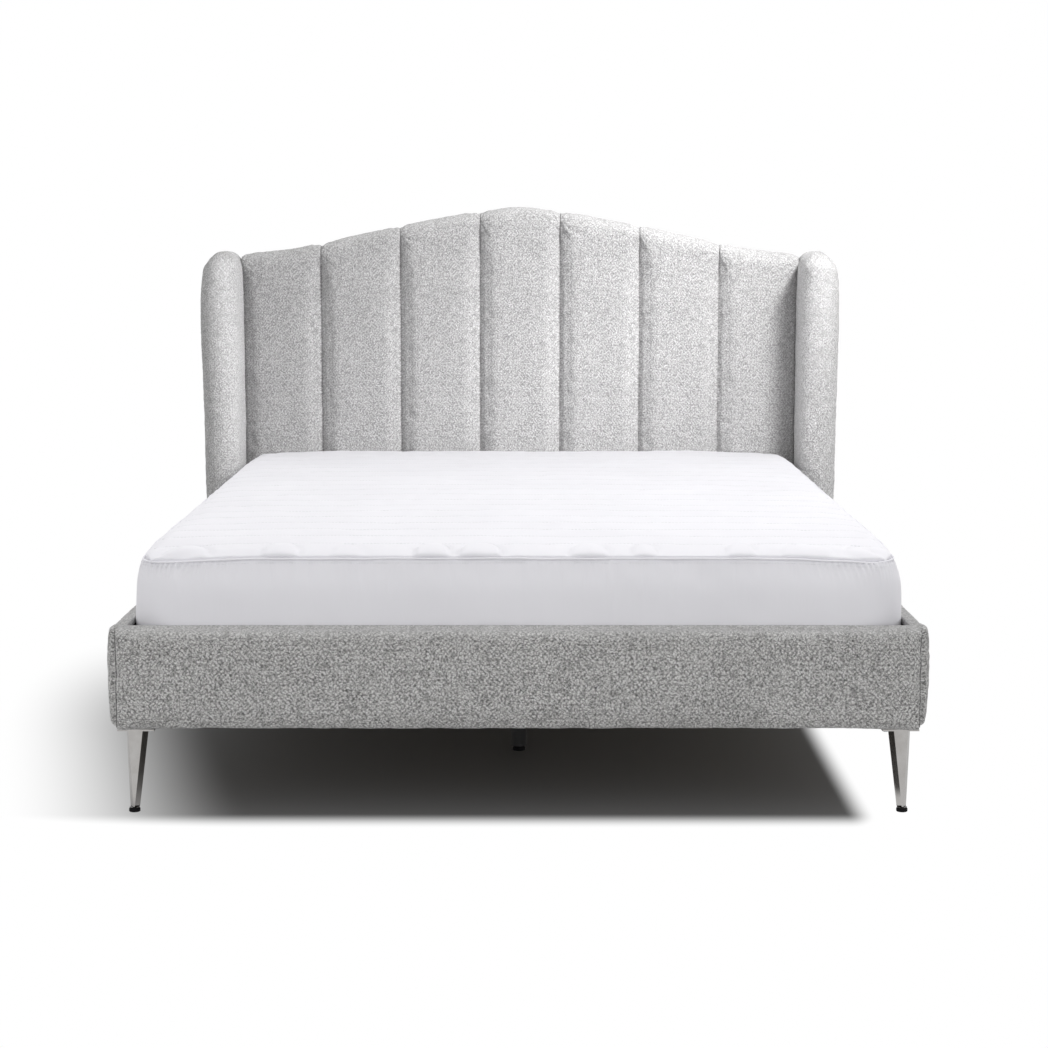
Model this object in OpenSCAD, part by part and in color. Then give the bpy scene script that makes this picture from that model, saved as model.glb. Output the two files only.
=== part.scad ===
// Upholstered double bed: padded rails on metal legs, sprung slats, a mattress with its
// protector, and a channelled camel-back headboard between two padded wings.
// Millimetres. The foot faces -Y, the headboard stands at +Y, and the floor is at z = 0.

/* [Mattress] */
// Width of the mattress
mattress_w = 1500; // [900:10:2000]
// Length of the mattress
mattress_l = 2000; // [1800:10:2200]
// Thickness of the mattress without its protector
mattress_h = 243; // [160:1:330]
// Radius of the mattress's upright corners
mattress_corner_r = 75; // [40:1:150]
// How far the mattress's top and bottom edges are drawn in
mattress_draw = 14; // [4:1:25]
// Thickness of the protector's quilted top at its edge
pad_t = 12; // [6:1:30]
// How far the protector's quilted top reaches past the mattress
pad_over = 9; // [2:1:11]
// Rise of the protector's crown above its edge
pad_crown = 5; // [1:1:25]
// Thickness of the protector's skirt
skirt_t = 12; // [4:1:20]
// Radius of the piping along the protector's top edge
piping_r = 3; // [2:0.5:5]

/* [Fit of the mattress] */
// Gap between the foot rail and the protector
foot_gap = 6; // [3:1:40]
// Gap between the protector and the headboard
head_gap = 5; // [3:1:40]
// Gap between the protector and each side rail
side_gap = 8; // [3:1:40]
// How far the mattress sits below the top of the rails
mattress_sink = 114; // [60:1:130]
// Clearance of soft pieces that lift off
soft_gap = 0.3; // [0.2:0.1:1]

/* [Rails] */
// Height of the rails
rail_h = 204; // [180:1:320]
// Thickness of the rail boards
board_t = 25; // [18:1:32]
// Padding in front of the foot rail's board
foot_pad_t = 25; // [15:1:50]
// Padding outside each side rail's board
side_pad_t = 15; // [13:1:40]
// How far the padding is drawn in along the rails' edges
rail_draw = 8; // [2:1:10]
// Radius of the rails' long edges
rail_edge_r = 14; // [6:1:20]
// Radius of the foot rail's ends
foot_end_r = 9; // [6:1:20]
// Padding over the ends of the foot rail's board
foot_end_pad = 6; // [3:1:12]
// How far the foot rail's ends stop short of the side boards' outer faces
foot_end_setback = 8; // [2:1:14]
// Padding over the rail boards' top edges
rail_top_pad = 12; // [4:1:20]
// Fabric under the rail boards
rail_under_pad = 3; // [1:0.5:8]
// Padding over the front end of each side board
side_end_pad = 6; // [3:1:12]
// Thickness of the plain rail at the head end
head_rail_t = 40; // [30:1:50]

/* [Slats] */
// Number of slats in each row
slat_count = 16; // [8:1:20]
// Width of a slat
slat_w = 63; // [40:1:70]
// Thickness of a slat
slat_t = 8; // [6:1:12]
// Distance from the mattress's ends to the first and last slat
slat_end = 14; // [5:1:60]
// How far a slat's end reaches into its holder
slat_grip = 24; // [15:1:28]
// Wall of the plastic slat holders
holder_wall = 2; // [1.5:0.5:4]
// Floor of the plastic slat holders
holder_floor = 5; // [3:1:10]
// Depth of an outer slat holder
holder_d = 30; // [20:1:40]
// Wall between the two slats in a centre holder
centre_wall = 8; // [4:1:12]
// Height of the battens that carry the slats
ledger_h = 40; // [25:1:60]
// Thickness of the battens that carry the slats
ledger_t = 30; // [20:1:35]
// Width of the centre beam
beam_w = 45; // [30:1:70]
// Height of the centre beam
beam_h = 50; // [30:1:65]
// Sheet thickness of the centre beam's brackets
stirrup_t = 2.5; // [1.5:0.5:4]
// Depth of the centre beam's brackets
stirrup_d = 50; // [30:1:80]
// Width of the square corner blocks
block_w = 70; // [50:1:100]

/* [Corner legs] */
// Height of the legs with their glides and plates
leg_h = 170; // [120:1:300]
// Distance from a cross rail's inner face out to the middle of a leg's foot
leg_back = 5; // [0:1:12]
// Distance from the foot rail's end to the middle of a leg's foot
leg_inset = 25; // [20:1:60]
// Width of a leg at its foot
leg_foot_w = 19; // [15:1:30]
// How much further out the leg's top reaches than its foot
leg_splay_out = 5.5; // [0:0.5:12]
// How much further in the leg's top reaches than its foot
leg_splay_in = 20; // [0:1:40]
// Width of each folded flange seen from the front
flange_w = 8; // [4:0.5:9]
// Depth of the folded legs at their tops
flange_d = 26; // [15:1:34]
// Depth of the folded legs at their feet
flange_foot_d = 16; // [10:1:20]
// Sheet thickness of the legs
leg_sheet = 3; // [2:0.5:4]
// Thickness of the legs' mounting plates
plate_t = 3.5; // [2:0.5:6]
// Distance from a leg's foot to the mounting plate's inner screws
plate_reach = 38; // [34:1:50]
// Distance from the screws to the plates' edges
plate_edge = 7; // [5:1:12]
// Radius of the disc under each leg's foot
ankle_r = 10; // [8:0.5:15]
// Thickness of the disc under each leg's foot
ankle_t = 2.5; // [1.5:0.5:5]
// Radius of the glides
glide_r = 11.2; // [8:0.1:16]
// Height of the glides
glide_h = 7; // [4:0.5:12]
// Chamfer of the glides and levelling feet
glide_chamfer = 1; // [0.5:0.1:1.5]

/* [Centre legs] */
// Distance from the foot rail's front to the first centre leg
centre_leg_y = 563; // [300:1:800]
// Radius of the centre legs
post_r = 17.2; // [12:0.1:25]
// Radius of the levelling feet
foot_r = 14; // [8:0.5:24]
// Height of the levelling feet's discs
foot_h = 11; // [6:1:20]
// Radius of the levelling feet's stems
stem_r = 4; // [3:0.5:6]
// Length of the levelling feet's stems
stem_l = 45; // [30:1:80]
// Running clearance of the stems
stem_gap = 0.08; // [0.02:0.01:0.1]
// Spare depth of the stems' holes
stem_spare = 5; // [2:1:10]
// Length of the centre legs' top plates
centre_plate_l = 80; // [60:1:120]

/* [Headboard] */
// Height of the headboard at its crest
headboard_h = 1204; // [900:1:1500]
// Height of the headboard where it meets the wings
shoulder_h = 1071; // [800:1:1400]
// Space between the protector's side and the wing
wing_gap = 33; // [20:1:60]
// Thickness of the channels' padding
channel_t = 55; // [30:1:90]
// Depth of the seams between the channels
seam_depth = 15; // [5:1:25]
// How far the channels' tops are drawn in at the seams
seam_dip = 4; // [0:0.5:10]
// Padding over the top edge of the headboard's board
cap_t = 26; // [15:1:45]
// Radius of the channels' top front edge
cap_front_r = 24; // [10:1:30]
// Radius of the channels' top back edge
cap_back_r = 9; // [4:1:20]
// Thickness of the headboard's board
headboard_board_t = 27; // [18:1:40]
// Thickness of the headboard's back panel
back_panel_t = 8; // [4:1:20]
// Gap between the rails' top and what stands above them
above_rail_gap = 5; // [2:1:20]

/* [Wings] */
// Height of the wings' tops
wing_h = 1089; // [820:1:1450]
// How far the wings reach in front of the channels
wing_reach = 160; // [60:1:300]
// Thickness of the wings' timber cores
wing_core_t = 46; // [25:1:60]
// Padding on the wings' inner faces
wing_pad_in = 25; // [15:1:40]
// Padding on the wings' outer faces, low down
wing_pad_out = 19; // [12:1:40]
// How much fuller the wings are near their tops
wing_flare = 7; // [0:1:20]
// Padding in front of the wings' cores
wing_pad_front = 24; // [15:1:50]
// Padding over the wings' cores
wing_pad_top = 32; // [20:1:60]
// Radius of the wings' back edges
wing_back_r = 8; // [3:1:12]
// How much the wings' top front corners are rounded back, as a share of their side rounding
wing_lean = 2.2; // [1:0.1:3]
// Radius of the wings' bottom edges
wing_foot_r = 8; // [3:1:12]
// Radius of the cores' top front corners
wing_core_r = 90; // [40:1:110]
// Distance from the wings' ends to the board's tabs
tab_margin = 30; // [15:1:60]
// Least distance from the board's top corners down to its tabs
tab_drop = 18; // [5:1:60]

/* [Fasteners] */
// Radius of the bolts
bolt_r = 4; // [3:0.5:6]
// Radius of the bolts' heads
bolt_head_r = 6.5; // [5:0.5:9]
// Height of the bolts' heads
bolt_head_h = 5; // [3:0.5:7]
// Distance from the bed's middle to the headboard's bolts
headboard_bolt_x = 460; // [200:10:700]
// How far the bolts and long screws stop short of the outer faces of what they hold
bolt_short = 6; // [3:1:12]
// Radius of the wood screws
screw_r = 2.2; // [1.5:0.1:3]
// Radius of the wood screws' heads
screw_head_r = 4.2; // [3:0.1:6]
// Height of the wood screws' heads
screw_head_h = 2; // [1:0.5:3]
// Number of screws in each ledger
ledger_screw_count = 8; // [3:1:14]
// Length of the wood screws
screw_l = 24; // [15:1:40]
// Clearance of bolts and screws in their holes
hole_gap = 0.2; // [0.1:0.05:0.5]
// Thickness of the wing brackets
bracket_t = 3; // [2:0.5:5]
// Height of the wing brackets
bracket_h = 60; // [30:1:90]
// Overlap of the wing brackets on each board
bracket_w = 34; // [20:1:40]

/* [Hidden] */
CORNERS = ["front_left", "front_right", "rear_left", "rear_right"];

// Colours as the photograph shows them
BOUCLE = [0.70, 0.69, 0.68];
BOUCLE_LIGHT = [0.77, 0.76, 0.75];
COTTON = [0.93, 0.92, 0.94];
TICKING = [0.86, 0.86, 0.88];
NICKEL = [0.78, 0.77, 0.75];
BLACK = [0.07, 0.07, 0.07];
STEEL = [0.55, 0.56, 0.58];
PINE = [0.80, 0.66, 0.45];
BIRCH = [0.87, 0.76, 0.58];
LINING = [0.16, 0.16, 0.17];

// Places across the bed, from its middle
protector_x = mattress_w / 2 + skirt_t;
rail_in = protector_x + side_gap;
side_board_out = rail_in + board_t;
side_out = side_board_out + side_pad_t;
foot_end = side_board_out - foot_end_setback;
panel_x = protector_x + wing_gap;
wing_core_in = panel_x + wing_pad_in;
wing_core_out = wing_core_in + wing_core_t;
wing_out = wing_core_out + wing_pad_out;

// Places along the bed, first counted from the foot rail's front
foot_rail_t = foot_pad_t + board_t;
mattress_start = foot_rail_t + foot_gap + skirt_t;
mattress_end = mattress_start + mattress_l;
face_from_foot = mattress_end + skirt_t + head_gap;
board_from_foot = face_from_foot + channel_t;
overall_l = board_from_foot + headboard_board_t + back_panel_t;
foot_y = -overall_l / 2;
foot_back_y = foot_y + foot_rail_t;
core_y0 = foot_y + mattress_start;
core_y1 = foot_y + mattress_end;
face_y = foot_y + face_from_foot;
headboard_y = foot_y + board_from_foot;
panel_back_y = headboard_y + headboard_board_t;
back_y = overall_l / 2;
head_rail_y = headboard_y - head_rail_t;
wing_front_y = face_y - wing_reach;

// Heights
rail_top = leg_h + rail_h;
board_h = rail_h - rail_under_pad - rail_top_pad;
mattress_z = rail_top - mattress_sink;
mattress_top = mattress_z + mattress_h;
holder_top = mattress_z - soft_gap;
slat_top = holder_top - holder_wall;
slat_bottom = slat_top - slat_t;
support_z = slat_bottom - holder_floor;
block_h = support_z - leg_h;
above_rail_z = rail_top + above_rail_gap;

// Crown and camel-back shapes
EDGE_POWER = 6;
CREST_END = 0.09;
FLANK_END = 0.66;
CREST_SLOPE = 0.15;
FLANK_SLOPE = 0.24;
END_SLOPE = 0.06;
CORE_STEPS = 8;
CHANNEL_COUNT = 7;
CHANNEL_STEPS = [-1, -0.96, -0.86, -0.6, 0, 0.6, 0.86, 0.96, 1];
channel_w = 2 * panel_x / CHANNEL_COUNT;

// Shares of a length at which its fasteners sit, and of the legs' folds
LOW_SHARE = 0.3;
HIGH_SHARE = 0.7;
BLOCK_SCREW_SHARE = 0.4;
BRACKET_SCREW_SHARE = 0.3;
FOLD_SHARE = 0.7;
WEB_MIN = 0.4;
STIRRUP_SHARE = 0.8;
FOOT_EDGE_SHARE = 0.55;
FLARE_SHARE = 0.8;

// Angles at which rounded edges are drawn, and shares at which long faces are
RAIL_END_TURNS = [0, 30, 60, 90];
CROWN_SHARES = [0.82, 0.66, 0.5, 0.34, 0.18];
WING_SHARES = [0.2, 0.4, 0.6, 0.8, 1];
WING_TOP_TURNS = [18, 36, 54, 68, 80];
PAD_EDGE_TURNS = [-90, -60, -30, 0, 30, 60, 90];
PAD_TOP_SHARES = [0.05, 0.15, 0.35, 0.65];
PIPING_TURNS = [-90, -45, 0, 45, 90, 135, 180, 225];
PIPING_SLACK = 0.05;

// Share of the way from v0 to v1
function mix(v0, v1, share) = v0 + (v1 - v0) * share;

// Area under a line whose height goes from h0 to h1 over the length w, up to the length x
function slope_area(x, w, h0, h1) = let (t = max(0, min(x, w))) h0 * t + (h1 - h0) * t * t / (2 * w);

// Fall of the camel-back at the share t of its half width, before scaling
function raw_fall(t) =
    slope_area(t, CREST_END, 0, CREST_SLOPE)
    + slope_area(t - CREST_END, FLANK_END - CREST_END, CREST_SLOPE, FLANK_SLOPE)
    + slope_area(t - FLANK_END, 1 - FLANK_END, FLANK_SLOPE, END_SLOPE);

// Height of the headboard's padded top at x
function crest_z(x) =
    headboard_h - (headboard_h - shoulder_h) * raw_fall(min(1, abs(x) / panel_x)) / raw_fall(1);

// Arc of n + 1 points about [u, v] from angle a0 to a1
function arc(u, v, r, a0, a1, n) =
    [for (i = [0 : n]) let (a = mix(a0, a1, i / n)) [u + r * cos(a), v + r * sin(a)]];

// Rounded rectangle, anticlockwise, with n steps in each corner
function round_ring(x0, x1, y0, y1, r, n) = concat(
    arc(x1 - r, y0 + r, r, -90, 0, n), arc(x1 - r, y1 - r, r, 0, 90, n),
    arc(x0 + r, y1 - r, r, 90, 180, n), arc(x0 + r, y0 + r, r, 180, 270, n));

function lift(ring, z) = [for (p = ring) [p[0], p[1], z]];
function stand(ring, x) = [for (p = ring) [x, p[0], p[1]]];

// Share of the full draw at the share s of a height, 0 in the middle and 1 at both edges
function edge_share(s) = pow(abs(2 * s - 1), EDGE_POWER);
// Heights from 0 to 1, closer together near both ends
function soft_steps(n) = [for (i = [0 : n]) (1 - cos(180 * i / n)) / 2];

// Triangles between rings of n points; the last ring joins the first where closed
function band_faces(m, n, closed) = [
    for (j = [0 : m - (closed ? 1 : 2)]) for (i = [0 : n - 1])
        let (a = j * n + i, b = j * n + (i + 1) % n, c = ((j + 1) % m) * n + i,
             d = ((j + 1) % m) * n + (i + 1) % n)
        each [[a, c, d], [a, d, b]]
];

// Solid through a stack of rings, capped at both ends by triangles that meet at each ring's first
// point, from which the whole ring has to be seen
module skin(rings) {
    m = len(rings);
    n = len(rings[0]);
    last = (m - 1) * n;
    caps = [for (i = [1 : n - 2]) each [[0, i, i + 1], [last, last + i + 1, last + i]]];
    polyhedron([for (ring = rings) each ring], concat(band_faces(m, n, false), caps), convexity = 6);
}

// Hollow solid through a stack of rings that comes back to its first ring
module closed_skin(rings) {
    polyhedron([for (ring = rings) each ring], band_faces(len(rings), len(rings[0]), true),
        convexity = 6);
}

module mirrored(left) {
    if (left) mirror([1, 0, 0]) children();
    else children();
}

// Moves a corner's shape to the named corner. It is drawn at the right of the foot, with y = 0 at
// the inner face of the cross rail and +Y towards the bed's middle.
module at_corner(corner) {
    left = corner == "front_left" || corner == "rear_left";
    rear = corner == "rear_left" || corner == "rear_right";
    mirrored(left) translate([0, rear ? head_rail_y : foot_back_y, 0])
        if (rear) mirror([0, 1, 0]) children();
        else children();
}

// Section of a padded rail in depth and height: a flat back and a crowned front
function rail_section(front, back, z0, z1, r, draw) = concat(
    [[back, z0], [back, z1]],
    arc(front + draw + r, z1 - r, r, 90, 180, 4),
    [for (s = CROWN_SHARES)
        [front + draw * pow(2 * s - 1, 2), mix(z0 + r, z1 - r, s)]],
    arc(front + draw + r, z0 + r, r, 180, 270, 4));

// Ring of a padded rail at x, drawn in by the inset
function rail_ring(x, inset, front, back, z0, z1) =
    stand(rail_section(front + inset, back, z0 + inset, z1 - inset, rail_edge_r, rail_draw), x);

// Padded rail along X from x0 to x1, whose ends are rounded over by end_r0 and end_r1
module padded_rail(x0, x1, front, back, z0, z1, end_r0, end_r1) {
    start = [for (a = RAIL_END_TURNS)
        rail_ring(x0 + end_r0 * (1 - cos(a)), end_r0 * (1 - sin(a)), front, back, z0, z1)];
    finish = [for (a = RAIL_END_TURNS)
        rail_ring(x1 - end_r1 * (1 - sin(a)), end_r1 * (1 - cos(a)), front, back, z0, z1)];
    skin(concat(
        end_r0 > 0 ? start : [rail_ring(x0, 0, front, back, z0, z1)],
        end_r1 > 0 ? finish : [rail_ring(x1, 0, front, back, z0, z1)]));
}

// Bolt or screw along Z, head down at z = 0; its hole is the same shape with a gap
module fastener(length, r, head_r, head_h, gap) {
    cylinder(h = length + gap, r = r + gap, $fn = 32);
    translate([0, 0, -head_h]) cylinder(h = head_h, r = head_r + gap, $fn = 32);
}

// Room of the foot rail's board inside its padding
module foot_board_room(depth) {
    translate([-foot_end + foot_end_pad, foot_y + foot_pad_t, leg_h + rail_under_pad])
        cube([2 * (foot_end - foot_end_pad), depth, board_h]);
}

module foot_rail_board() {
    color(PINE) difference() {
        foot_board_room(board_t);
        corner_bolts(hole_gap);
        leg_screws(hole_gap);
    }
}

module foot_rail_cover() {
    color(BOUCLE) difference() {
        padded_rail(-foot_end, foot_end, foot_y, foot_back_y, leg_h, rail_top,
            foot_end_r, foot_end_r);
        foot_board_room(board_t + 1);
        leg_screws(hole_gap);
    }
}

// Room of the right side board inside its padding, open towards the mattress by the reach
module side_board_room(reach) {
    translate([rail_in - reach, foot_back_y + side_end_pad, leg_h + rail_under_pad])
        cube([board_t + reach, headboard_y - foot_back_y - side_end_pad, board_h]);
}

module side_board(left) {
    color(PINE) difference() {
        mirrored(left) side_board_room(0);
        corner_bolts(hole_gap);
        ledger_screws(hole_gap);
        leg_screws(hole_gap);
    }
}

module side_cover(left) {
    color(BOUCLE) difference() {
        mirrored(left) difference() {
            mirror([1, 0, 0]) rotate([0, 0, -90])
                padded_rail(-headboard_y, -foot_back_y, -side_out, -rail_in, leg_h, rail_top,
                    0, side_end_pad);
            side_board_room(1);
        }
        leg_screws(hole_gap);
    }
}

module head_rail() {
    color(PINE) difference() {
        translate([-rail_in, head_rail_y, leg_h + rail_under_pad])
            cube([2 * rail_in, head_rail_t, board_h]);
        corner_bolts(hole_gap);
        headboard_bolts(hole_gap);
        leg_screws(hole_gap);
    }
}

module corner_block(corner) {
    color(PINE) difference() {
        at_corner(corner) translate([rail_in - block_w, 0, leg_h])
            cube([block_w, block_w, block_h]);
        corner_bolts(hole_gap);
        leg_screws(hole_gap);
    }
}

// One bolt through each block into the cross rail and one into the side board
module corner_bolts(gap) {
    length = block_w + board_t - bolt_short;
    for (corner = CORNERS) at_corner(corner) {
        translate([rail_in - block_w / 2, block_w, leg_h + block_h * LOW_SHARE]) rotate([90, 0, 0])
            fastener(length, bolt_r, bolt_head_r, bolt_head_h, gap);
        translate([rail_in - block_w, block_w / 2, leg_h + block_h * HIGH_SHARE]) rotate([0, 90, 0])
            fastener(length, bolt_r, bolt_head_r, bolt_head_h, gap);
    }
}

// Slats and what carries them

module ledger(left) {
    color(PINE) difference() {
        mirrored(left) translate([rail_in - ledger_t, foot_back_y + block_w, support_z - ledger_h])
            cube([ledger_t, head_rail_y - foot_back_y - 2 * block_w, ledger_h]);
        ledger_screws(hole_gap);
    }
}

module ledger_screws(gap) {
    run = head_rail_y - foot_back_y - 2 * block_w;
    for (left = [true, false]) mirrored(left)
        for (i = [0 : ledger_screw_count - 1])
            translate([rail_in - ledger_t,
                foot_back_y + block_w + run * (i + 0.5) / ledger_screw_count,
                support_z - ledger_h / 2])
            rotate([0, 90, 0])
                fastener(ledger_t + board_t - bolt_short, screw_r, screw_head_r, screw_head_h, gap);
}

// Space that the centre beam takes between its two brackets
module beam_room() {
    translate([-beam_w / 2, foot_back_y + stirrup_t, support_z - beam_h])
        cube([beam_w, head_rail_y - foot_back_y - 2 * stirrup_t, beam_h]);
}

module centre_beam() {
    color(PINE) difference() {
        beam_room();
        centre_leg_screws(hole_gap);
    }
}

module centre_beam_brackets() {
    wide = beam_w + 2 * stirrup_t;
    color(STEEL) difference() {
        for (y = [foot_back_y, head_rail_y - stirrup_d])
            translate([-wide / 2, y, support_z - beam_h - stirrup_t])
                cube([wide, stirrup_d, beam_h * STIRRUP_SHARE + stirrup_t]);
        beam_room();
    }
}

function slat_y(i) = mix(core_y0 + slat_end, core_y1 - slat_end - slat_w, i / (slat_count - 1));

module slats(left) {
    color(BIRCH) mirrored(left) for (i = [0 : slat_count - 1])
        translate([centre_wall / 2, slat_y(i), slat_bottom])
            cube([rail_in - holder_d + slat_grip - centre_wall / 2, slat_w, slat_t]);
}

// Body of a slat holder from x0 to x1, open where the slat passes
module holder_blocks(x0, x1) {
    for (i = [0 : slat_count - 1])
        translate([x0, slat_y(i) - holder_wall, support_z])
            cube([x1 - x0, slat_w + 2 * holder_wall, holder_top - support_z]);
}

module slat_holders(left) {
    color(BLACK) difference() {
        mirrored(left) holder_blocks(rail_in - holder_d, rail_in);
        slats(left);
    }
}

module centre_slat_holders() {
    color(BLACK) difference() {
        holder_blocks(-beam_w / 2, beam_w / 2);
        slats(true);
        slats(false);
    }
}

// Corner legs

leg_x = foot_end - leg_inset;
plate_screws = [
    [leg_x - plate_reach, -board_t * HIGH_SHARE],
    [leg_x - plate_reach, block_w * BLOCK_SCREW_SHARE],
    [rail_in + board_t / 2, block_w * BLOCK_SCREW_SHARE]
];

// Outside of the folded leg from x0 to x1: a front web and two flanges turned back
function leg_outside(x0, x1, depth) =
    [[x0, depth / 2], [x0 + flange_w, -depth / 2], [x1 - flange_w, -depth / 2], [x1, depth / 2]];

// Inside of the folded leg, open at the back
function leg_inside(x0, x1, depth) =
    let (front = leg_sheet - depth / 2, back = depth / 2 + 1, fold = leg_sheet * FOLD_SHARE,
         web0 = min(x0 + flange_w + fold, (x0 + x1) / 2 - WEB_MIN / 2),
         web1 = max(x1 - flange_w - fold, web0 + WEB_MIN))
    [[x0 + leg_sheet, back], [web0, front], [web1, front], [x1 - leg_sheet, back]];

module leg(corner) {
    foot = leg_foot_w / 2;
    top_x0 = -foot - leg_splay_in;
    top_x1 = foot + leg_splay_out;
    foot_z = glide_h + ankle_t;
    top_z = leg_h - plate_t;
    plate_x0 = plate_screws[0][0] - plate_edge;
    plate_y0 = plate_screws[0][1] - plate_edge;
    color(NICKEL) difference() {
        at_corner(corner) {
            translate([leg_x, -leg_back, 0]) {
                difference() {
                    skin([
                        lift(leg_outside(-foot, foot, flange_foot_d), foot_z),
                        lift(leg_outside(top_x0, top_x1, flange_d), top_z)]);
                    skin([
                        lift(leg_inside(-foot, foot, flange_foot_d), foot_z),
                        lift(leg_inside(top_x0, top_x1, flange_d), top_z)]);
                }
                translate([0, 0, glide_h]) cylinder(h = ankle_t, r = ankle_r, $fn = 32);
            }
            translate([plate_x0, plate_y0, leg_h - plate_t])
                cube([plate_screws[2][0] + plate_edge - plate_x0,
                    plate_screws[2][1] + plate_edge - plate_y0, plate_t]);
        }
        leg_screws(hole_gap);
    }
}

module leg_screws(gap) {
    for (corner = CORNERS) at_corner(corner)
        for (p = plate_screws) translate([p[0], p[1], leg_h - plate_t])
            fastener(screw_l, screw_r, screw_head_r, screw_head_h, gap);
}

module glide(corner) {
    color(BLACK) at_corner(corner) translate([leg_x, -leg_back, 0])
        rotate_extrude($fn = 48) polygon([
            [0, 0], [glide_r - glide_chamfer, 0], [glide_r, glide_chamfer],
            [glide_r, glide_h - glide_chamfer], [glide_r - glide_chamfer, glide_h], [0, glide_h]]);
}

// Centre legs

centre_plate_z = support_z - beam_h - plate_t;
centre_leg_places = [foot_y + centre_leg_y, headboard_y - centre_leg_y];

module centre_leg(y) {
    color(BLACK) difference() {
        translate([0, y, 0]) {
            translate([0, 0, foot_h + soft_gap])
                cylinder(h = centre_plate_z - foot_h - soft_gap, r = post_r, $fn = 64);
            translate([-beam_w / 2, -centre_plate_l / 2, centre_plate_z])
                cube([beam_w, centre_plate_l, plate_t]);
        }
        translate([0, y, 0]) cylinder(h = foot_h + stem_l + stem_spare, r = stem_r + stem_gap, $fn = 48);
        centre_leg_screws(hole_gap);
    }
}

module centre_leg_screws(gap) {
    for (y = centre_leg_places) for (side = [-1, 1]) for (end = [-1, 1])
        translate([side * (beam_w / 2 - plate_edge), y + end * (centre_plate_l / 2 - plate_edge),
            centre_plate_z])
        fastener(screw_l, screw_r, screw_head_r, screw_head_h, gap);
}

module levelling_foot(y) {
    color(BLACK) translate([0, y, 0]) rotate_extrude($fn = 64) polygon([
        [0, 0], [foot_r - glide_chamfer, 0], [foot_r, glide_chamfer], [foot_r, foot_h * FOOT_EDGE_SHARE],
        [stem_r * 2, foot_h], [stem_r, foot_h], [stem_r, foot_h + stem_l], [0, foot_h + stem_l]]);
}

// Headboard

// Every x at which a channel's crown is drawn, from the left wing to the right
channel_xs = [for (i = [0 : CHANNEL_COUNT - 1]) for (u = CHANNEL_STEPS)
    if (u > -1 || i == 0) -panel_x + channel_w * (i + (u + 1) / 2)];

// Camel-back outline in X and Z, below the padding that covers the board's top edge
module camel_back() {
    polygon(concat(
        [for (x = channel_xs) [x, crest_z(x) - cap_t]],
        [[panel_x, above_rail_z], [-panel_x, above_rail_z]]));
}

// Extrudes a shape drawn in X and Z from y0 to y1
module upright(y0, y1) {
    translate([0, y1, 0]) rotate([90, 0, 0]) linear_extrude(y1 - y0) children();
}

tab_z0 = above_rail_z + tab_margin;
tab_z1 = min(wing_h - wing_pad_top - tab_margin, shoulder_h - cap_t - tab_drop);

// Edges of the board that reach through the wings' padding to their cores
module board_tabs() {
    for (left = [true, false]) mirrored(left)
        translate([panel_x, headboard_y, tab_z0])
            cube([wing_pad_in, headboard_board_t, tab_z1 - tab_z0]);
}

module headboard_board() {
    color(PINE) difference() {
        union() {
            upright(headboard_y, panel_back_y) camel_back();
            translate([-side_board_out, headboard_y, leg_h + rail_under_pad])
                cube([2 * side_board_out, headboard_board_t, above_rail_z - leg_h - rail_under_pad]);
            board_tabs();
        }
        headboard_bolts(hole_gap);
        wing_bracket_screws(hole_gap);
    }
}

module headboard_back_panel() {
    color(LINING) difference() {
        upright(panel_back_y, back_y) camel_back();
        bracket_room();
    }
}

module headboard_bolts(gap) {
    for (left = [true, false]) mirrored(left) for (share = [LOW_SHARE, HIGH_SHARE])
        translate([headboard_bolt_x, panel_back_y, leg_h + rail_h * share]) rotate([90, 0, 0])
            fastener(headboard_board_t + head_rail_t - bolt_short, bolt_r, bolt_head_r,
                bolt_head_h, gap);
}

// Section of a channel in depth and height: the padding turns over the board's top edge
function channel_section(x, draw, dip) =
    let (top = crest_z(x) - dip, under = crest_z(x) - cap_t, front = face_y + draw)
    concat(
        [[headboard_y, under], [back_y, under]],
        arc(back_y - cap_back_r, top - cap_back_r, cap_back_r, 0, 90, 2),
        arc(front + cap_front_r, top - cap_front_r, cap_front_r, 90, 180, 5),
        arc(front + rail_edge_r, above_rail_z + rail_edge_r, rail_edge_r, 180, 270, 3),
        [[headboard_y, above_rail_z]]);

module headboard_channel(number) {
    middle = -panel_x + channel_w * (number - 0.5);
    color(BOUCLE_LIGHT) skin([for (u = CHANNEL_STEPS)
        let (x = middle + u * channel_w / 2, share = pow(abs(u), EDGE_POWER))
        stand(channel_section(x, seam_depth * share, seam_dip * share), x)]);
}

// Wings

// Plan of the right wing at the share s of its straight height, drawn in by the inset
function wing_ring(s, inset) =
    let (flare = wing_flare * (1 - cos(180 * min(1, s / FLARE_SHARE))) / 2,
         x0 = panel_x + inset, x1 = wing_out + flare - inset,
         y0 = wing_front_y + wing_lean * inset, y1 = back_y - inset / 4,
         r = (x1 - x0) / 2 - 0.01)
    concat(arc(x1 - wing_back_r, y1 - wing_back_r, wing_back_r, 0, 90, 2),
        arc(x0 + wing_back_r, y1 - wing_back_r, wing_back_r, 90, 180, 2),
        arc(x0 + r, y0 + r, r, 180, 270, 6),
        arc(x1 - r, y0 + r, r, 270, 360, 6));

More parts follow.
